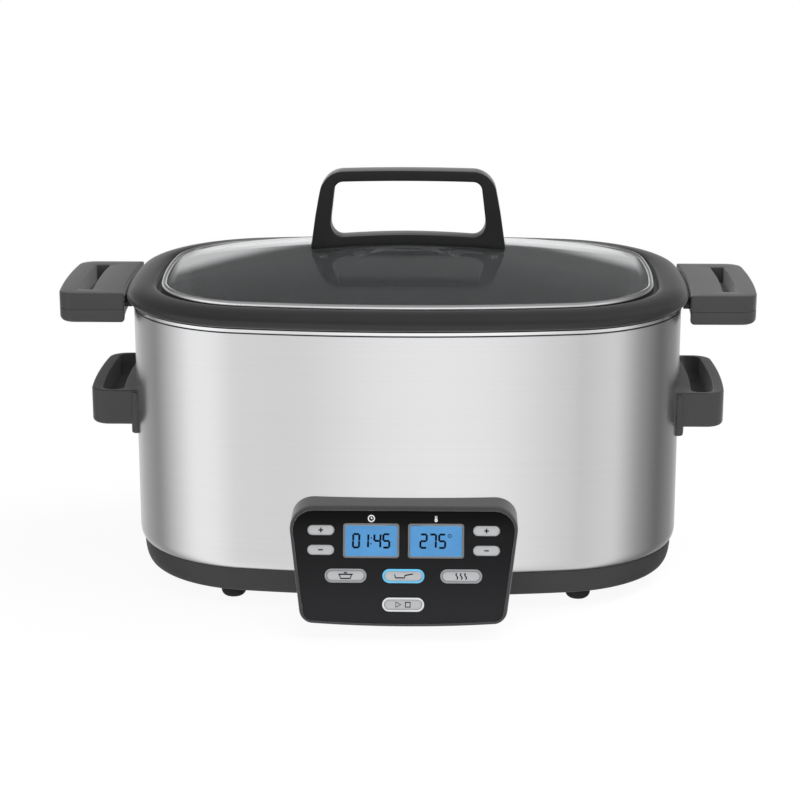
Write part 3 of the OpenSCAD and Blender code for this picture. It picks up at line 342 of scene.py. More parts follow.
def quarterUp(start, end, count=8):  # the same, leaving start along the height
    return quarter(end, start, count)[::-1]


def softRing(corners, radii, steps=8, perSide=6):  # rounded outline with the same count for any sizes
    arcs = []
    for i, corner in enumerate(corners):
        p = Vector(corner)
        toLast = (Vector(corners[i - 1]) - p).normalized()
        toNext = (Vector(corners[(i + 1) % len(corners)]) - p).normalized()
        half = toLast.angle(toNext) / 2
        r = radii[i]
        centre = p + (toLast + toNext).normalized() * r / math.sin(half)
        first = p + toLast * r / math.tan(half) - centre
        last = p + toNext * r / math.tan(half) - centre
        start = math.atan2(first.y, first.x)
        sweep = (math.atan2(last.y, last.x) - start + math.pi) % (2 * math.pi) - math.pi
        arcs.append([(centre.x + r * math.cos(start + sweep * k / steps),
                      centre.y + r * math.sin(start + sweep * k / steps)) for k in range(steps + 1)])
    points = []
    for i, arc in enumerate(arcs):
        (ax, ay), (bx, by) = arc[-1], arcs[(i + 1) % len(arcs)][0]
        points += arc + [(ax + (bx - ax) * k / (perSide + 1), ay + (by - ay) * k / (perSide + 1))
                         for k in range(1, perSide + 1)]
    return points


def insetCorners(corners, inset):
    moved = []
    for i, corner in enumerate(corners):
        p = Vector(corner)
        before = (p - Vector(corners[i - 1])).normalized()
        after = (Vector(corners[(i + 1) % len(corners)]) - p).normalized()
        n1, n2 = Vector((-before.y, before.x)), Vector((-after.y, after.x))
        moved.append(tuple(p + (n1 + n2) * inset / (1 + n1.dot(n2))))
    return moved


def taper(lowHalf, low, topHalf, top):  # corners of an upright shape that narrows
    return [(-lowHalf, low), (lowHalf, low), (topHalf, top), (-topHalf, top)]


def box(w, h):
    return taper(w / 2, -h / 2, w / 2, h / 2)


def edgeTurn(radius, count=4):  # (inset, drop) pairs from a face over its rounded edge
    turns = [square * i / count for i in range(count + 1)]
    return [(radius * (1 - math.sin(t)), radius * (1 - math.cos(t))) for t in turns]


# skins: points and faces
def loft(rings, closed=False):
    count = len(rings[0])
    points = [p for ring in rings for p in ring]
    faces = []
    for i in range(len(rings) if closed else len(rings) - 1):
        a, b = i * count, (i + 1) % len(rings) * count
        faces += [(a + j, a + (j + 1) % count, b + (j + 1) % count, b + j) for j in range(count)]
    if not closed:
        faces += [tuple(range(count)), tuple(range(len(points) - count, len(points)))]
    return points, faces


def levels(section):
    return [[(x, y, z) for x, y in oval(offset)] for offset, z in section]


def lathe(profile, count, closed=False):
    turns = [2 * math.pi * i / count for i in range(count)]
    return loft([[(r * math.cos(t), r * math.sin(t), z) for t in turns] for r, z in profile], closed)


def placed(skin, move):
    points, faces = skin
    return [move(*p) for p in points], faces


def build(name, skins, finish, body, slot, *nodes, sharp=sharpFold):
    mesh = bpy.data.meshes.new(name)
    points, faces = [], []
    for skinPoints, skinFaces in skins:
        faces += [tuple(i + len(points) for i in face) for face in skinFaces]
        points += [(x * mm, y * mm, (z + deck) * mm) for x, y, z in skinPoints]
    mesh.from_pydata(points, [], faces)
    work = bmesh.new()
    work.from_mesh(mesh)
    bmesh.ops.recalc_face_normals(work, faces=work.faces)
    work.to_mesh(mesh)
    work.free()
    mesh.shade_smooth()
    mesh.set_sharp_from_angle(angle=math.radians(sharp))
    mesh.materials.append(finishes[finish])
    obj = bpy.data.objects.new(name, mesh)
    scene.collection.objects.link(obj)
    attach(obj, body)
    if nodes:
        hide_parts(*nodes)
    return obj


def cutOut(obj, tools):  # takes the tools' shapes out of a piece
    body, slot = next(iter(frame["bodies"])), frame["record"]["materials"][0]["slot"]
    cutter = build("cutter", tools, "dark_plastic", body, slot)
    change = obj.modifiers.new("cut", "BOOLEAN")
    change.operation = "DIFFERENCE"
    change.solver = "EXACT"
    change.object = cutter
    bpy.context.view_layer.update()
    mesh = bpy.data.meshes.new_from_object(obj.evaluated_get(bpy.context.evaluated_depsgraph_get()))
    obj.modifiers.clear()
    obj.data = mesh
    mesh.set_sharp_from_angle(angle=math.radians(sharpFold))
    bpy.data.objects.remove(cutter)


# the camera of the photograph
view = {"place": (0.0315, -1.6383, 0.5749), "target": (0, 0, 0.122), "lens": 101.66,
        "shiftX": -0.0104, "shiftY": -0.0075}


def aim(obj, place, target):
    obj.location = place
    obj.rotation_euler = (Vector(target) - obj.location).to_track_quat("-Z", "Y").to_euler()


camera = bpy.data.objects.new("camera", bpy.data.cameras.new("camera"))
aim(camera, view["place"], view["target"])
camera.data.lens = view["lens"]
camera.data.shift_x = view["shiftX"]
camera.data.shift_y = view["shiftY"]
scene.collection.objects.link(camera)
scene.camera = camera

# base: tray, feet, steel wall, trim and well
tray = {"low": 8, "roundTop": 24, "top": 26.5, "lipTop": 34.5, "inset": 3, "footIn": 8.4, "flatIn": 13.8,
        "lipIn": 7.5, "wall": 2.5, "floor": 11, "edge": 0.8}
trayIn = tray["lipIn"] + tray["wall"]
traySection = ([(-tray["flatIn"], tray["low"])]
               + quarter((-tray["footIn"], tray["low"]), (-tray["inset"], tray["roundTop"]))
               + quarterUp((-tray["inset"], tray["top"] - tray["edge"]),
                           (-tray["inset"] - tray["edge"], tray["top"]), 3)
               + [(-tray["lipIn"], tray["top"]), (-tray["lipIn"], tray["lipTop"]),
                  (-trayIn, tray["lipTop"]), (-trayIn, tray["floor"])])
build("tray_shell", [loft(levels(traySection))], "tray_plastic", "base_unit", "dark_plastic", "base_tray")

foot = {"x": 124, "y": 104, "radius": 9, "low": -2, "top": 8, "lipRadius": 4.8, "round": 5, "points": 48,
        "cup": 2.4, "cupRim": 3, "cupDeep": 0.6, "groove": 0.5, "grooveLevels": (4.4, 4.8, 5.4, 5.8)}
grooveIn = foot["radius"] - foot["groove"]
footProfile = ([(foot["cup"], foot["low"] + foot["cupDeep"]), (foot["cupRim"], foot["low"])]
               + quarter((foot["lipRadius"], foot["low"]), (foot["radius"], foot["low"] + foot["round"]))
               + list(zip((foot["radius"], grooveIn, grooveIn, foot["radius"]), foot["grooveLevels"]))
               + [(foot["radius"], foot["top"])])
footSkins = [placed(lathe(footProfile, foot["points"]),
                    lambda x, y, z, a=a, b=b: (x + a * foot["x"], y + b * foot["y"], z))
             for a in (-1, 1) for b in (-1, 1)]
build("foot_pads", footSkins, "foot_rubber", "base_unit", "foot_rubber", "feet")

gland = {"y": 140, "z": 48, "bore": 4, "body": 8, "flange": 11.5, "face": 3.1, "seat": 0.1, "nut": -1.7,
         "back": -5.7, "chamfer": 0.6, "round": 1.6, "points": 64}
wall = {"low": 26.5, "top": 198.5, "sheet": 1.2, "hemIn": 3.5, "hemTop": 34.5, "hemSteps": 12, "flangeIn": 7,
        "hole": 8.2, "holeReach": 4, "holeTop": 60}
wallSection = ([(-wall["flangeIn"], wall["low"])]
               + quarter((-wall["hemIn"], wall["low"]), (0, wall["hemTop"]), wall["hemSteps"])
               + [(0, wall["holeTop"]), (0, wall["top"])]
               + [(-wall["sheet"], wall["top"]), (-wall["sheet"], wall["holeTop"])]
               + quarterUp((-wall["sheet"], wall["hemTop"]),
                           (-wall["hemIn"] - wall["sheet"] / 2, wall["low"] + wall["sheet"]), wall["hemSteps"])
               + [(-wall["flangeIn"], wall["low"] + wall["sheet"])])
steelWall = build("steel_wall", [loft(levels(wallSection), True)], "brushed_housing", "base_unit",
                  "brushed_housing", "housing_shell")


def onBack(x, y, z):  # drawn on the back wall, round the gland
    return x, gland["y"] + z, gland["z"] - y


wallHole = lathe([(wall["hole"], -wall["holeReach"]), (wall["hole"], wall["holeReach"])], gland["points"])
cutOut(steelWall, [placed(wallHole, onBack)])

trim = {"low": 199.7, "top": 202.2, "out": 0.6, "in": 8, "chamfer": 0.2}
trimSection = ([(-trim["in"], trim["low"]), (trim["out"] - trim["chamfer"], trim["low"]),
                (trim["out"], trim["low"] + trim["chamfer"])]
               + quarterUp((trim["out"], trim["top"] - trim["out"]), (0, trim["top"]), 5)
               + [(-trim["in"], trim["top"])])
build("trim_ring", [loft(levels(trimSection), True)], "polished_trim", "base_unit", "polished_trim",
      "top_trim_ring")

well = {"low": 72, "floor": 73.2, "inset": 16, "round": 12, "sheet": 1.2, "flange": 198.5, "flangeOut": 3.5}
wellIn, wellFoot = well["inset"] + well["sheet"], well["inset"] + well["round"]
wellBend, wellTop = well["low"] + well["round"], well["flange"] + well["sheet"]
wellSection = (quarter((-wellFoot, well["low"]), (-well["inset"], wellBend))
               + [(-well["inset"], well["flange"]), (-well["flangeOut"], well["flange"]),
                  (-well["flangeOut"], wellTop), (-wellIn, wellTop)]
               + quarterUp((-wellIn, wellBend), (-wellFoot, well["floor"])))
build("well_pan", [loft(levels(wellSection))], "well_sheet", "base_unit", "well_sheet", "inner_well")

glandProfile = ([(gland["bore"], gland["face"] - gland["chamfer"]),
                 (gland["bore"] + gland["chamfer"], gland["face"])]
                + quarter((gland["flange"] - gland["round"], gland["face"]),
                          (gland["flange"], gland["face"] - gland["round"]), 5)
                + [(gland["flange"], gland["seat"]), (gland["body"], gland["seat"]),
                   (gland["body"], gland["nut"]), (gland["flange"], gland["nut"]),
                   (gland["flange"], gland["back"]), (gland["bore"], gland["back"])])
build("gland_ring", [placed(lathe(glandProfile, gland["points"], True), onBack)], "black_plastic", "base_unit",
      "black_plastic", "cord_gland")

coil = {"radius": 8, "wire": 1.6, "turns": 6, "steps": 32, "sides": 12, "travel": 3}
coilLow, coilHigh = (corner[2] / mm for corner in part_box("sensor_spring"))
coilRise = (coilHigh - coilLow - coil["wire"]) / (coil["turns"] * coil["steps"])
wireTurns = [2 * math.pi * k / coil["sides"] for k in range(coil["sides"])]
wireRound = [(coil["radius"] + coil["wire"] / 2 * math.cos(a), coil["wire"] / 2 * math.sin(a)) for a in wireTurns]
coilRings = []
for i in range(coil["turns"] * coil["steps"] + 1):
    t = 2 * math.pi * i / coil["steps"]
    height = coilLow - deck + coil["wire"] / 2 + coilRise * i
    coilRings.append([(out * math.cos(t), out * math.sin(t), height + rise) for out, rise in wireRound])
coilSpring = build("sensor_coil", [loft(coilRings)], "bright_steel", "base_unit", "bright_steel",
                   "sensor_spring")
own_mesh(coilSpring)
print("base built")


# bands that follow the short side of the plan, drawn as (offset, y) outlines
def sideRing(side, inner, outer, half, outerRadius, innerRadius, z):
    corners = [(outer, -half), (outer, half), (inner, half), (inner, -half)]
    outline = softRing(corners, [outerRadius, outerRadius, innerRadius, innerRadius], perSide=14)
    return [(side * sideAt(y, offset), y, z) for offset, y in outline]


sideHandle = {"low": 111, "high": 137, "seat": 0.1, "reach": 33, "half": 56, "corner": 12, "under": 3, "rim": 1,
              "scoopIn": 9, "scoopOut": 25, "scoopHalf": 52, "scoopCorner": 7, "scoopDeep": 13, "slope": 3,
              "ramp": 16, "steps": 12, "flangeLow": 105, "flangeTop": 136, "flangeOut": 4.5, "flangeHalf": 58,
              "flangeCorner": 3}


def sideHandleSkins(side):
    h = sideHandle

    def outer(inset, z):
        return sideRing(side, h["seat"], h["reach"] - inset, h["half"] - inset, h["corner"] - inset, nudge, z)

    def scoop(inset, shorter, z):
        return sideRing(side, h["scoopIn"] + inset, h["scoopOut"] - inset, h["scoopHalf"] - shorter,
                        h["scoopCorner"] - inset, h["scoopCorner"] - inset, z)

    rings = [outer(inset, h["low"] + drop) for inset, drop in edgeTurn(h["under"], 6)]
    rings += [outer(inset, h["high"] - drop) for inset, drop in reversed(edgeTurn(h["rim"]))]
    rings += [scoop(-inset, -inset, h["high"] - drop) for inset, drop in edgeTurn(h["rim"])]
    for k in range(1, h["steps"] + 1):
        inward = k / h["steps"]
        drop = h["rim"] + (h["scoopDeep"] - h["rim"]) * math.sin(square * inward)
        rings.append(scoop(h["slope"] * inward, h["ramp"] * inward, h["high"] - drop))

    def flange(inset, z):
        return sideRing(side, h["seat"], h["flangeOut"] - inset, h["flangeHalf"] - inset,
                        h["flangeCorner"] - inset, nudge, z)

    lip = [flange(inset, h["flangeLow"] + drop) for inset, drop in edgeTurn(h["rim"])]
    lip += [flange(inset, h["flangeTop"] - drop) for inset, drop in reversed(edgeTurn(h["rim"]))]
    return [loft(rings), loft(lip)]


for name, side in sides.items():
    build("side_handle_shell_" + name, sideHandleSkins(side), "dark_plastic", "base_unit", "dark_plastic",
          "side_handle_" + name)

# pot: bowl, collar, lugs and two-part grips
pot = {"under": 101.9, "floor": 105.9, "outerFoot": (-48.2, -31.2), "innerFoot": (-48.2, -34.2), "bend": 119.9,
       "neck": [(-25.7, 203.5), (-22.7, 207.1), (-13.3, 205.5), (-10.5, 202.5)], "seat": 202.5, "seatOut": -1,
       "collarOut": 4.8, "collarLow": 206.8, "crestIn": -11.5, "crest": 214.5, "crestSteps": 16, "mouth": -16.3,
       "lip": 1.6, "ledge": 209.9, "ledgeEdge": 0.6, "ledgeIn": -27.5, "ledgeEnd": (-27.9, 209.6),
       "wallTop": (-28.7, 208.7)}
lug = {"in": 1.5, "out": 24, "half": 46, "low": 197.4, "high": 204.9, "corner": 6, "edge": 0.8}
neck = {"offsets": (0.5, 2.5, 4.5, 6.5, 8.5), "half": (49, 48.4, 47.8, 47.2, 46.6), "corner": 2.4,
        "low": (203.2, 201.6, 200, 198.6, 197.5), "high": (210.6, 209, 207.4, 206, 204.8)}
grip = {"low": 187.3, "part": 197.3, "high": 209.3, "in": 7, "out": 54, "half": 56, "outerCorner": 11,
        "innerCorner": 1.5, "top": 1.2, "seam": 0.5, "under": 4, "slotIn": 29.5, "slotOut": 39.5,
        "slotHalf": 42, "slotCorner": 2, "slotEdge": 0.8, "screwAt": 16, "screwY": 20, "screwRadius": 4,
        "screwDeep": 3.4, "screwClear": 1, "screwPoints": 40}

crestTurns = [square * i / pot["crestSteps"] for i in range(1, pot["crestSteps"] + 1)]
potSection = (quarter((pot["outerFoot"][0], pot["under"]), (pot["outerFoot"][1], pot["bend"])) + pot["neck"]
              + quarter((pot["seatOut"], pot["seat"]), (pot["collarOut"], pot["collarLow"]))
              + [(pot["crestIn"] + (pot["collarOut"] - pot["crestIn"]) * math.cos(t),
                  pot["collarLow"] + (pot["crest"] - pot["collarLow"]) * math.sin(t)) for t in crestTurns]
              + [(pot["crestIn"] + (pot["mouth"] - pot["crestIn"]) * math.sin(t),
                  pot["crest"] - pot["lip"] * (1 - math.cos(t))) for t in crestTurns[1::2]]
              + [(pot["mouth"], pot["ledge"] + pot["ledgeEdge"]), (pot["mouth"] - pot["ledgeEdge"], pot["ledge"])]
              + [(pot["ledgeIn"] + pot["ledgeEdge"], pot["ledge"]), pot["ledgeEnd"], pot["wallTop"]]
              + quarterUp((pot["innerFoot"][1], pot["bend"]), (pot["innerFoot"][0], pot["floor"]), 12))


def lugSkin(side):
    def ring(inset, z):
        return sideRing(side, lug["in"], lug["out"] - inset, lug["half"] - inset,
                        lug["corner"] - inset, nudge, z)

    return loft([ring(inset, lug["low"] + drop) for inset, drop in edgeTurn(lug["edge"])]
                + [ring(inset, lug["high"] - drop) for inset, drop in reversed(edgeTurn(lug["edge"]))])


def neckSkin(side):  # the fairing from the collar down to the lug
    rings = []
    for offset, half, low, high in zip(neck["offsets"], neck["half"], neck["low"], neck["high"]):
        outline = softRing(taper(half, low, half, high), [neck["corner"]] * 4, steps=6, perSide=14)
        rings.append([(side * sideAt(y, offset), y, z) for y, z in outline])
    return loft(rings)


potSkins = [loft(levels(potSection)), lugSkin(-1), lugSkin(1), neckSkin(-1), neckSkin(1)]
build("pot_bowl", potSkins, "pot_coating", "pot", "pot_coating", "cooking_pot")


def gripRing(side, inset, z):
    return sideRing(side, grip["in"] + inset, grip["out"] - inset, grip["half"] - inset,
                    grip["outerCorner"] - inset, max(nudge, grip["innerCorner"] - inset), z)


def slotRing(side, inset, z):
    corner = grip["slotCorner"] - inset
    return sideRing(side, grip["slotIn"] + inset, grip["slotOut"] - inset, grip["slotHalf"] - inset,
                    corner, corner, z)


def gripTop(side):
    rings = [gripRing(side, inset, grip["part"] + drop) for inset, drop in edgeTurn(grip["seam"], 2)]
    rings += [gripRing(side, inset, grip["high"] - drop) for inset, drop in reversed(edgeTurn(grip["top"]))]
    rings += [slotRing(side, -inset, grip["high"] - drop) for inset, drop in edgeTurn(grip["slotEdge"])]
    return loft(rings + [slotRing(side, 0, grip["part"])], True)


def gripBase(side):
    rings = [gripRing(side, inset, grip["low"] + drop) for inset, drop in edgeTurn(grip["under"], 7)]
    rings += [gripRing(side, inset, grip["part"] - drop) for inset, drop in reversed(edgeTurn(grip["seam"], 2))]
    return loft(rings)


def screwWells(side):  # round wells under the grip for its screw heads
    tools = []
    for y in (-grip["screwY"], grip["screwY"]):
        x = side * sideAt(y, grip["screwAt"])
        hole = lathe([(grip["screwRadius"], grip["low"] - grip["screwClear"]),
                      (grip["screwRadius"], grip["low"] + grip["screwDeep"])], grip["screwPoints"])
        tools.append(placed(hole, lambda px, py, pz, x=x, y=y: (x + px, y + py, pz)))
    return tools


for name, side in sides.items():
    build("grip_cap_" + name, [gripTop(side)], "dark_plastic", "pot", "dark_plastic", "grip_top_" + name)
    under = build("grip_under_" + name, [gripBase(side)], "dark_plastic", "pot", "dark_plastic",
                  "grip_base_" + name)
    cutOut(under, screwWells(side))
print("pot built")

# lid: glass, steel band and arched handle
lid = {"rimIn": -21.2, "bandIn": -23.9, "low": 211.3, "top": 215.3, "dome": 19.5, "power": 1.8, "thick": 4,
       "tip": 0.04, "rings": 26, "sharp": 50}
shares = [lid["tip"] + (1 - lid["tip"]) * i / lid["rings"] for i in range(lid["rings"] + 1)]


def domeRing(part, drop):
    z = lid["top"] + lid["dome"] * (1 - part ** lid["power"]) - drop
    return [(x * part, y * part, z) for x, y in oval(lid["bandIn"])]


glassRings = ([domeRing(s, lid["thick"]) for s in shares]
              + levels([(lid["rimIn"], lid["low"]), (lid["rimIn"], lid["top"])])
              + [domeRing(s, 0) for s in reversed(shares)])
build("glass_dome", [loft(glassRings)], "lid_clear", "lid", "lid_clear", "lid_glass", sharp=lid["sharp"])

band = {"in": -23.9, "out": -19.9, "low": 210.2, "top": 216.4, "sheet": 1, "roll": 2.2, "shoulder": 3, "curl": 1.8,
        "shoulderSteps": 10}
bandWall = band["out"] - band["sheet"]
bandFloor, bandRoof = band["low"] + band["sheet"], band["top"] - band["sheet"]
bandSection = ([(band["in"], band["low"])] + quarter((bandWall, band["low"]), (band["out"], bandFloor), 4)
               + quarterUp((band["out"], band["top"] - band["shoulder"]),
                           (band["out"] - band["roll"], band["top"]), band["shoulderSteps"])
               + quarter((band["in"] + band["curl"], band["top"]), (band["in"], bandRoof))[1:]
               + [(bandWall, bandRoof), (bandWall, bandFloor), (band["in"], bandFloor)])
build("lid_rim", [loft(levels(bandSection), True)], "band_steel", "lid", "polished_trim", "lid_band")

handle = {"foot": 236, "top": 291, "footHalf": 72, "topHalf": 62, "footCorner": 2, "topCorner": 17,
          "windowLow": 243.5, "windowTop": 283.5, "windowLowHalf": 58, "windowTopHalf": 53.3,
          "windowLowCorner": 9.5, "windowTopCorner": 6.5, "deep": 9, "edge": 0.9, "bow": 1.2, "blend": 14}
handleOutline = taper(handle["footHalf"], handle["foot"], handle["topHalf"], handle["top"])
windowOutline = taper(handle["windowLowHalf"], handle["windowLow"], handle["windowTopHalf"], handle["windowTop"])


def share(value):
    return max(0, min(1, value))


def handleRing(corners, radii, inset, drop, face):
    ring = []
    reach = oval(lid["bandIn"])[0][0]
    for x, z in softRing(insetCorners(corners, inset), [r - inset for r in radii], steps=10, perSide=20):
        low = share(1 - (z - handle["windowLow"]) / handle["blend"])
        high = share(1 - (handle["windowTop"] - z) / handle["blend"])
        fall = lid["dome"] * (abs(x) / reach) ** lid["power"]  # the lower bar follows the glass
        crown = handle["bow"] * (x / handle["topHalf"]) ** 2
        ring.append((x, face * (handle["deep"] - drop), z - low * fall - high * crown))
    return ring


outerRadii = [handle["footCorner"]] * 2 + [handle["topCorner"]] * 2
windowRadii = [handle["windowLowCorner"]] * 2 + [handle["windowTopCorner"]] * 2
turns = edgeTurn(handle["edge"])
handleRings = ([handleRing(handleOutline, outerRadii, inset, drop, -1) for inset, drop in turns]
               + [handleRing(handleOutline, outerRadii, inset, drop, 1) for inset, drop in reversed(turns)]
               + [handleRing(windowOutline, windowRadii, -inset, drop, 1) for inset, drop in turns]
               + [handleRing(windowOutline, windowRadii, -inset, drop, -1) for inset, drop in reversed(turns)])
build("lid_arch", [loft(handleRings, True)], "black_plastic", "lid", "black_plastic", "lid_handle")
print("lid built")

# control panel, drawn on its sloping face
panel = {"y": -175.6, "z": 45, "tilt": 22, "topHalf": 81, "lowHalf": 70.5, "halfHeight": 41.25, "bow": 2.5,
         "lowCorner": 9, "topCorner": 16, "rim": 2.4, "proud": 1, "edgeIn": 1.6, "edgeBack": 4.5,
         "edgeSteps": 8, "rimEdge": 0.5, "pocket": -2.5, "wall": 6, "intoWall": -0.8, "mirrorFrom": -120}
tilt = math.radians(panel["tilt"])


def onFace(x, y, z):
    return (x, panel["y"] + y * math.sin(tilt) - z * math.cos(tilt),
            panel["z"] + y * math.cos(tilt) + z * math.sin(tilt))


def panelRing(inset, z, back):
    low, top, half = panel["lowHalf"] - inset, panel["topHalf"] - inset, panel["halfHeight"] - inset
    lowEdge = panel["bow"] - half
    ring = []
    lowCorner, topCorner = panel["lowCorner"] - inset, panel["topCorner"] - inset
    for x, y in softRing(taper(low, lowEdge, top, half), [lowCorner, lowCorner, topCorner, topCorner],
                         steps=10, perSide=16):
        near = share((lowEdge + panel["lowCorner"] - y) / panel["lowCorner"])
        y -= near * panel["bow"] * (1 - (x / low) ** 2)
        px, py, pz = onFace(x, y, z)
        ring.append((px, -frontAt(px, panel["intoWall"]) if back is None else py + back, pz))
    return ring


panelRings = ([panelRing(0, panel["proud"], None)]
              + [panelRing(inset * panel["edgeIn"], panel["proud"], drop * panel["edgeBack"])
                 for inset, drop in reversed(edgeTurn(1, panel["edgeSteps"]))]
              + [panelRing(panel["rim"] - inset, panel["proud"] - drop, 0)
                 for inset, drop in edgeTurn(panel["rimEdge"])]
              + [panelRing(panel["rim"], panel["pocket"], 0), panelRing(panel["wall"], panel["pocket"], 0),
                 panelRing(panel["wall"], panel["pocket"], None)])
build("panel_block", [loft(panelRings, True)], "dark_plastic", "base_unit", "dark_plastic", "panel_housing")


def faceRing(x, y, w, h, corner, z):
    return [onFace(x + px, y + py, z) for px, py in softRing(box(w, h), [corner] * 4, perSide=4)]


def faceLoop(x, y, outer, inner, low, high, edge):  # a raised frame round an opening in the face
    def ring(shape, inset, z):
        w, h, corner = shape
        return faceRing(x, y, w - 2 * inset, h - 2 * inset, corner - inset, z)

    rings = [ring(outer, 0, low)] + [ring(outer, inset, high - drop) for inset, drop in reversed(edgeTurn(edge))]
    rings += [ring(inner, -inset, high - drop) for inset, drop in edgeTurn(edge)] + [ring(inner, 0, low)]
    return loft(rings, True)


window = {"x": 22.3, "y": 18.2, "outer": (38.4, 23.6, 2), "inner": (36, 21.2, 1), "high": 0.6, "edge": 0.4}
for name, side in (("time", sides["left"]), ("temp", sides["right"])):
    build(name + "_bezel", [faceLoop(side * window["x"], window["y"], window["outer"], window["inner"],
                                     panel["pocket"], window["high"], window["edge"])],
          "frame_grey", "base_unit", "key_silver", name + "_frame")

keys = {"proud": 1.2, "edge": 0.9, "edgeSteps": 6, "crown": 0.2, "crownEnd": 0.3, "crownSteps": 5, "low": -2.81,
        "flange": -3.6, "flangeOut": 0.95, "stem": 2, "stemLow": -4.9, "stemPoints": 24, "smallX": 57,
        "smallY": (25.3, 11.7), "small": (18, 6.4), "wideX": 39.7, "wideY": -5.9, "startY": -25.5,
        "wide": (25.6, 6.3), "ringOuter": (28.8, 9.5), "ringInner": (26.2, 6.9), "ringHigh": 0.6,
        "ringEdge": 0.45}
highY, lowY = keys["smallY"]
smallSpots = {"time_up": (-keys["smallX"], highY), "time_down": (-keys["smallX"], lowY),
              "temp_up": (keys["smallX"], highY), "temp_down": (keys["smallX"], lowY)}
ringSlots = {"slow": "ring_grey", "brown": "ring_blue", "steam": "ring_grey", "start": "ring_white"}
wideSpots = {"slow": (-keys["wideX"], keys["wideY"]), "brown": (0, keys["wideY"]),
             "steam": (keys["wideX"], keys["wideY"]), "start": (0, keys["startY"])}


def keySkins(x, y, w, h):
    def ring(inset, z):
        return faceRing(x, y, w - 2 * inset, h - 2 * inset, h / 2 - inset - nudge, z)

    shoulder = keys["proud"] - keys["crown"]
    rings = [ring(0, keys["low"])]
    rings += [ring(inset, shoulder - drop) for inset, drop in reversed(edgeTurn(keys["edge"], keys["edgeSteps"]))]
    inner = h / 2 - keys["edge"] - keys["crownEnd"]
    for k in range(1, keys["crownSteps"] + 1):
        inward = k / keys["crownSteps"]
        rings.append(ring(keys["edge"] + inner * inward, shoulder + keys["crown"] * (1 - (1 - inward) ** 2)))
    flange = [ring(-keys["flangeOut"], z) for z in (keys["flange"], keys["low"] + nudge)]
    stem = lathe([(keys["stem"], keys["stemLow"]), (keys["stem"], keys["flange"] + nudge)], keys["stemPoints"])
    return [loft(rings), loft(flange), placed(stem, lambda px, py, pz: onFace(x + px, y + py, pz))]


def pillLoop(x, y):
    (w, h), (iw, ih) = keys["ringOuter"], keys["ringInner"]
    return faceLoop(x, y, (w, h, h / 2 - nudge), (iw, ih, ih / 2 - nudge),
                    panel["pocket"], keys["ringHigh"], keys["ringEdge"])


def stroke(path, width, low, high, closed=False):  # a thin raised line on the face
    rings = []
    for i, (x, y) in enumerate(path):
        last = Vector(path[i - 1] if i or closed else path[i])
        following = Vector(path[(i + 1) % len(path)] if i < len(path) - 1 or closed else path[i])
        along = (following - last).normalized() * width / 2
        left, right = (x - along.y, y + along.x), (x + along.y, y - along.x)
        rings.append([onFace(*left, low), onFace(*right, low), onFace(*right, high), onFace(*left, high)])
    return loft(rings, closed)


def circle(x, y, radius, count=24):
    turns = [2 * math.pi * i / count for i in range(count)]
    return [(x + radius * math.cos(t), y + radius * math.sin(t)) for t in turns]


def wave(x, length, swing, count=16):  # an upright wavy line
    return [(x + swing * math.sin(2 * math.pi * i / count), length * (i / count - 0.5)) for i in range(count + 1)]


mark = {"line": 0.9, "sign": 0.85, "low": 0.9, "high": 1.24, "arm": 1.6, "waveTall": 4.2, "waveSwing": 0.6}
signPaths = {  # a pot with a lid, a pan with a long grip, steam, and start and stop
    "slow": [[(-4, 0.4), (-3.4, -1.9), (3.4, -1.9), (4, 0.4)], [(-5, 0.9), (5, 0.9)], [(-1.1, 2), (1.1, 2)]],
    "brown": [[(-6, 0.9), (-5.3, -1.3), (0.7, -1.3), (1.4, 0.9)], [(1.3, 0.4), (6.6, 1.4)]],
    "steam": [wave(x, mark["waveTall"], mark["waveSwing"]) for x in (-3, 0, 3)],
    "start": [[(-5, -1.8), (-5, 1.8), (-1.6, 0)], [(1.6, -1.6), (1.6, 1.6), (4.8, 1.6), (4.8, -1.6)]]}
closedSigns = ["start"]


def marksFor(name, x, y):
    arm, low, high = mark["arm"], mark["low"], mark["high"]
    bar = stroke([(x - arm, y), (x + arm, y)], mark["line"], low, high)
    if name.endswith("up"):
        return [bar, stroke([(x, y - arm), (x, y + arm)], mark["line"], low, high + nudge)]
    if name.endswith("down"):
        return [bar]
    return [stroke([(x + px, y + py) for px, py in path], mark["sign"], low, high, name in closedSigns)
            for path in signPaths[name]]


for spots, size in ((smallSpots, keys["small"]), (wideSpots, keys["wide"])):
    for name, spot in spots.items():
        build(name + "_cap", keySkins(*spot, *size), "key_silver", name + "_button", "key_silver", name + "_key")
        build(name + "_mark", marksFor(name, *spot), "mark_dark", name + "_button", "panel_gloss")
        if name in ringSlots:
            build(name + "_light", [pillLoop(*spot)], ringSlots[name], "base_unit", ringSlots[name],
                  name + "_ring")

# display figures and the small signs over the windows
figures = {"tall": 9.2, "wide": 4.2, "line": 1.4, "gap": 0.2, "lean": 0.03, "low": -1.59, "high": -1.53,
           "time": "0145", "timeX": (-10.4, -4.2, 4.2, 10.4), "temp": "275", "tempX": (-8.6, -2.2, 4.2),
           "dot": 0.9, "dotX": 0.15, "dotY": 2, "degreeX": 9.4, "degreeY": 3.7, "degreeRadius": 1.1,
           "degreeLine": 0.5}
segments = {"0": "abcdef", "1": "bc", "2": "abged", "3": "abgcd", "4": "fgbc", "5": "afgcd", "6": "afgedc",
            "7": "abc", "8": "abcdefg", "9": "abcdfg"}
smallPoints = 16  # round the smallest circles


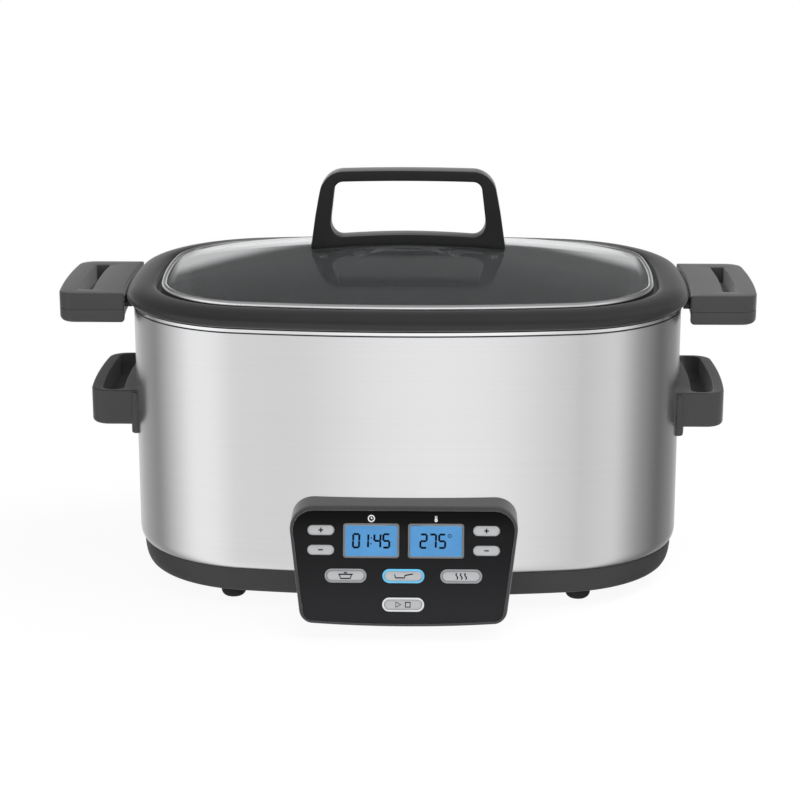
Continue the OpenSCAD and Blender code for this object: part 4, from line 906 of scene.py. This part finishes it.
def figure(digit, x, y):
    w, h, gap = figures["wide"] / 2, figures["tall"] / 2, figures["gap"]
    ends = {"a": ((-w, h), (w, h)), "b": ((w, h), (w, 0)), "c": ((w, 0), (w, -h)), "d": ((w, -h), (-w, -h)),
            "e": ((-w, -h), (-w, 0)), "f": ((-w, 0), (-w, h)), "g": ((-w, 0), (w, 0))}
    skins = []
    for name in segments[digit]:
        start, end = Vector(ends[name][0]), Vector(ends[name][1])
        along = (end - start).normalized() * gap
        path = [(x + p.x + p.y * figures["lean"], y + p.y) for p in (start + along, end - along)]
        skins.append(stroke(path, figures["line"], figures["low"], figures["high"]))
    return skins


def dot(x, y):
    half = figures["dot"] / 2
    return stroke([(x - half, y), (x + half, y)], figures["dot"], figures["low"], figures["high"])


def row(digits, places, x):
    return [skin for digit, place in zip(digits, places) for skin in figure(digit, place + x, window["y"])]


timeFigures = row(figures["time"], figures["timeX"], -window["x"])
timeFigures += [dot(side * figures["dotX"] - window["x"], side * figures["dotY"] + window["y"])
                for side in (1, -1)]
degreeRing = circle(window["x"] + figures["degreeX"], window["y"] + figures["degreeY"], figures["degreeRadius"],
                    smallPoints)
tempFigures = row(figures["temp"], figures["tempX"], window["x"])
tempFigures.append(stroke(degreeRing, figures["degreeLine"], figures["low"], figures["high"], True))
build("time_figures", timeFigures, "mark_dark", "base_unit", "lcd_screen")
build("temp_figures", tempFigures, "mark_dark", "base_unit", "lcd_screen")

sign = {"y": 33.5, "line": 0.75, "high": 0.05, "clock": 2.1, "minute": 1.1, "hour": 0.9,
        "bulb": 0.75, "bulbDrop": 1.1, "tube": 0.5, "tubeTop": 1.7, "tubeLine": 0.525}
clockX, heatX = -window["x"], window["x"]
clockRing = circle(clockX, sign["y"], sign["clock"])
clockHands = [(clockX, sign["y"] + sign["minute"]), (clockX, sign["y"]), (clockX + sign["hour"], sign["y"])]
bulbRing = circle(heatX, sign["y"] - sign["bulbDrop"], sign["bulb"], smallPoints)
tubeLow, tubeTop = sign["y"] - sign["tube"], sign["y"] + sign["tubeTop"]
tubePath = [(heatX - sign["tube"], tubeLow), (heatX - sign["tube"], tubeTop),
            (heatX + sign["tube"], tubeTop), (heatX + sign["tube"], tubeLow)]
signs = [stroke(clockRing, sign["line"], 0, sign["high"], True),
         stroke(clockHands, sign["line"], 0, sign["high"]),
         stroke(bulbRing, sign["line"], 0, sign["high"], True),
         stroke(tubePath, sign["tubeLine"], 0, sign["high"])]
build("panel_signs", signs, "mark_light", "base_unit", "key_silver")
print("panel built")

# every CAD node that stays in view takes its slot's finish
for part in frame["record"]["subparts"]:
    for entry in frame["nodes"][part["node"]].material_slots:
        entry.material = finishes[part["material_slot"]]

# pieces before the steel stay out of its mirror image
for obj in scene.objects:
    if obj.type == "MESH" and max(corner[1] for corner in obj.bound_box) < panel["mirrorFrom"] * mm:
        obj.visible_glossy = False

# studio: pale floor, soft lamps and a white surround
floorLook = {"size": 30, "colour": (0.9, 0.9, 0.9, 1), "near": 0.93, "fade": (0.3, 0.75)}
floor = bpy.data.objects.new("floor", bpy.data.meshes.new("floor"))
floorCorners = [(x, y, 0) for x, y in box(floorLook["size"], floorLook["size"])]
floor.data.from_pydata(floorCorners, [], [(0, 1, 2, 3)])
scene.collection.objects.link(floor)
floor.visible_glossy = False
floorMaterial = bpy.data.materials.new("floor")
floorMaterial.use_nodes = True
shop = Shop(floorMaterial.node_tree)
seen = shop.add("ShaderNodeLightPath", output="Is Camera Ray")
spot = shop.add("ShaderNodeTexCoord", output="Object")
away = shop.add("ShaderNodeVectorMath", {"operation": "LENGTH"}, {0: spot}, "Value")
whiteness = floorLook["near"] + shop.ease(away, *floorLook["fade"]) * (1 - floorLook["near"])
matt = shop.add("ShaderNodeBsdfDiffuse", None, {"Color": floorLook["colour"]})
white = shop.add("ShaderNodeEmission", None, {"Color": (1, 1, 1, 1), "Strength": 1.0})
blend = shop.add("ShaderNodeMixShader", None, {0: seen * whiteness, 1: matt, 2: white})
shop.add("ShaderNodeOutputMaterial", None, {"Surface": blend})
floor.data.materials.append(floorMaterial)

# bearings in degrees from the front, + to the right, and how bright the surround is there
studio = {"ring": [(-180, 1.0), (-135, 0.44), (-108, 0.25), (-66, 1.0), (-45, 0.98), (-24, 0.8), (-15, 0.735),
                   (-8, 0.92), (0, 1.0), (12, 0.98), (22, 0.64), (60, 0.775), (84, 0.355), (112, 0.13),
                   (145, 0.33), (180, 1.0)],
          "lowSky": (0.45, 0.65), "topSky": 0.32, "behind": (0.3, 0.7), "backLow": (0.485, 0.52),
          "backLean": 0.35, "backTop": 0.12, "fill": 0.35}
world = bpy.data.worlds.new("studio")
scene.world = world
world.use_nodes = True
shop = Shop(world.node_tree)
way = shop.add("ShaderNodeTexCoord", output="Generated")
wayX, wayY, wayZ = (shop.add("ShaderNodeSeparateXYZ", None, {"Vector": way}, axis) for axis in "XYZ")
turn = wayX.math("ARCTAN2", wayX, 0 - wayY) / (2 * math.pi) + 0.5
ring = shop.add("ShaderNodeValToRGB", {"stops": [(a / 360 + 0.5, v) for a, v in studio["ring"]]}, {"Fac": turn})
ring = shop.add("ShaderNodeRGBToBW", None, {"Color": ring})
frontFade = shop.ease(wayZ, *studio["lowSky"])
backFade = shop.ease(wayZ + wayY * studio["backLean"], *studio["backLow"])
behind = shop.ease(wayY, *studio["behind"])
fade = frontFade + (backFade - frontFade) * behind
sky = studio["topSky"] + (studio["backTop"] - studio["topSky"]) * behind
mirrorLight = ring + (sky - ring) * fade
cameraRay, glossyRay, throughRay = (shop.add("ShaderNodeLightPath", output="Is " + kind + " Ray")
                                    for kind in ("Camera", "Glossy", "Transmission"))
through = 1 + (mirrorLight - 1) * backFade  # white level with the glass, the mirrored sky over it
strength = studio["fill"] + (mirrorLight - studio["fill"]) * glossyRay
strength = strength + (through - strength) * throughRay
strength = strength + (1 - strength) * cameraRay
surround = shop.add("ShaderNodeBackground", None, {"Color": (1, 1, 1, 1), "Strength": strength})
shop.add("ShaderNodeOutputWorld", None, {"Surface": surround})

lamps = {"overhead": {"place": (0.35, -0.1, 1.55), "target": (0, 0, 0.2), "size": (1.3, 1.1), "watts": 23},
         "front": {"place": (-0.5, -1.9, 1.1), "target": (0, 0, 0.12), "size": (1.0, 0.8), "watts": 10},
         "right": {"place": (0.85, 0.3, 0.75), "target": (0.2, 0, 0.2), "size": (0.5, 0.5), "watts": 7}}
for name, lamp in lamps.items():
    light = bpy.data.lights.new(name, "AREA")
    light.shape = "RECTANGLE"
    light.size, light.size_y = lamp["size"]
    light.energy = lamp["watts"]
    holder = bpy.data.objects.new(name, light)
    aim(holder, lamp["place"], lamp["target"])
    holder.visible_glossy = False
    scene.collection.objects.link(holder)
print("studio lit")
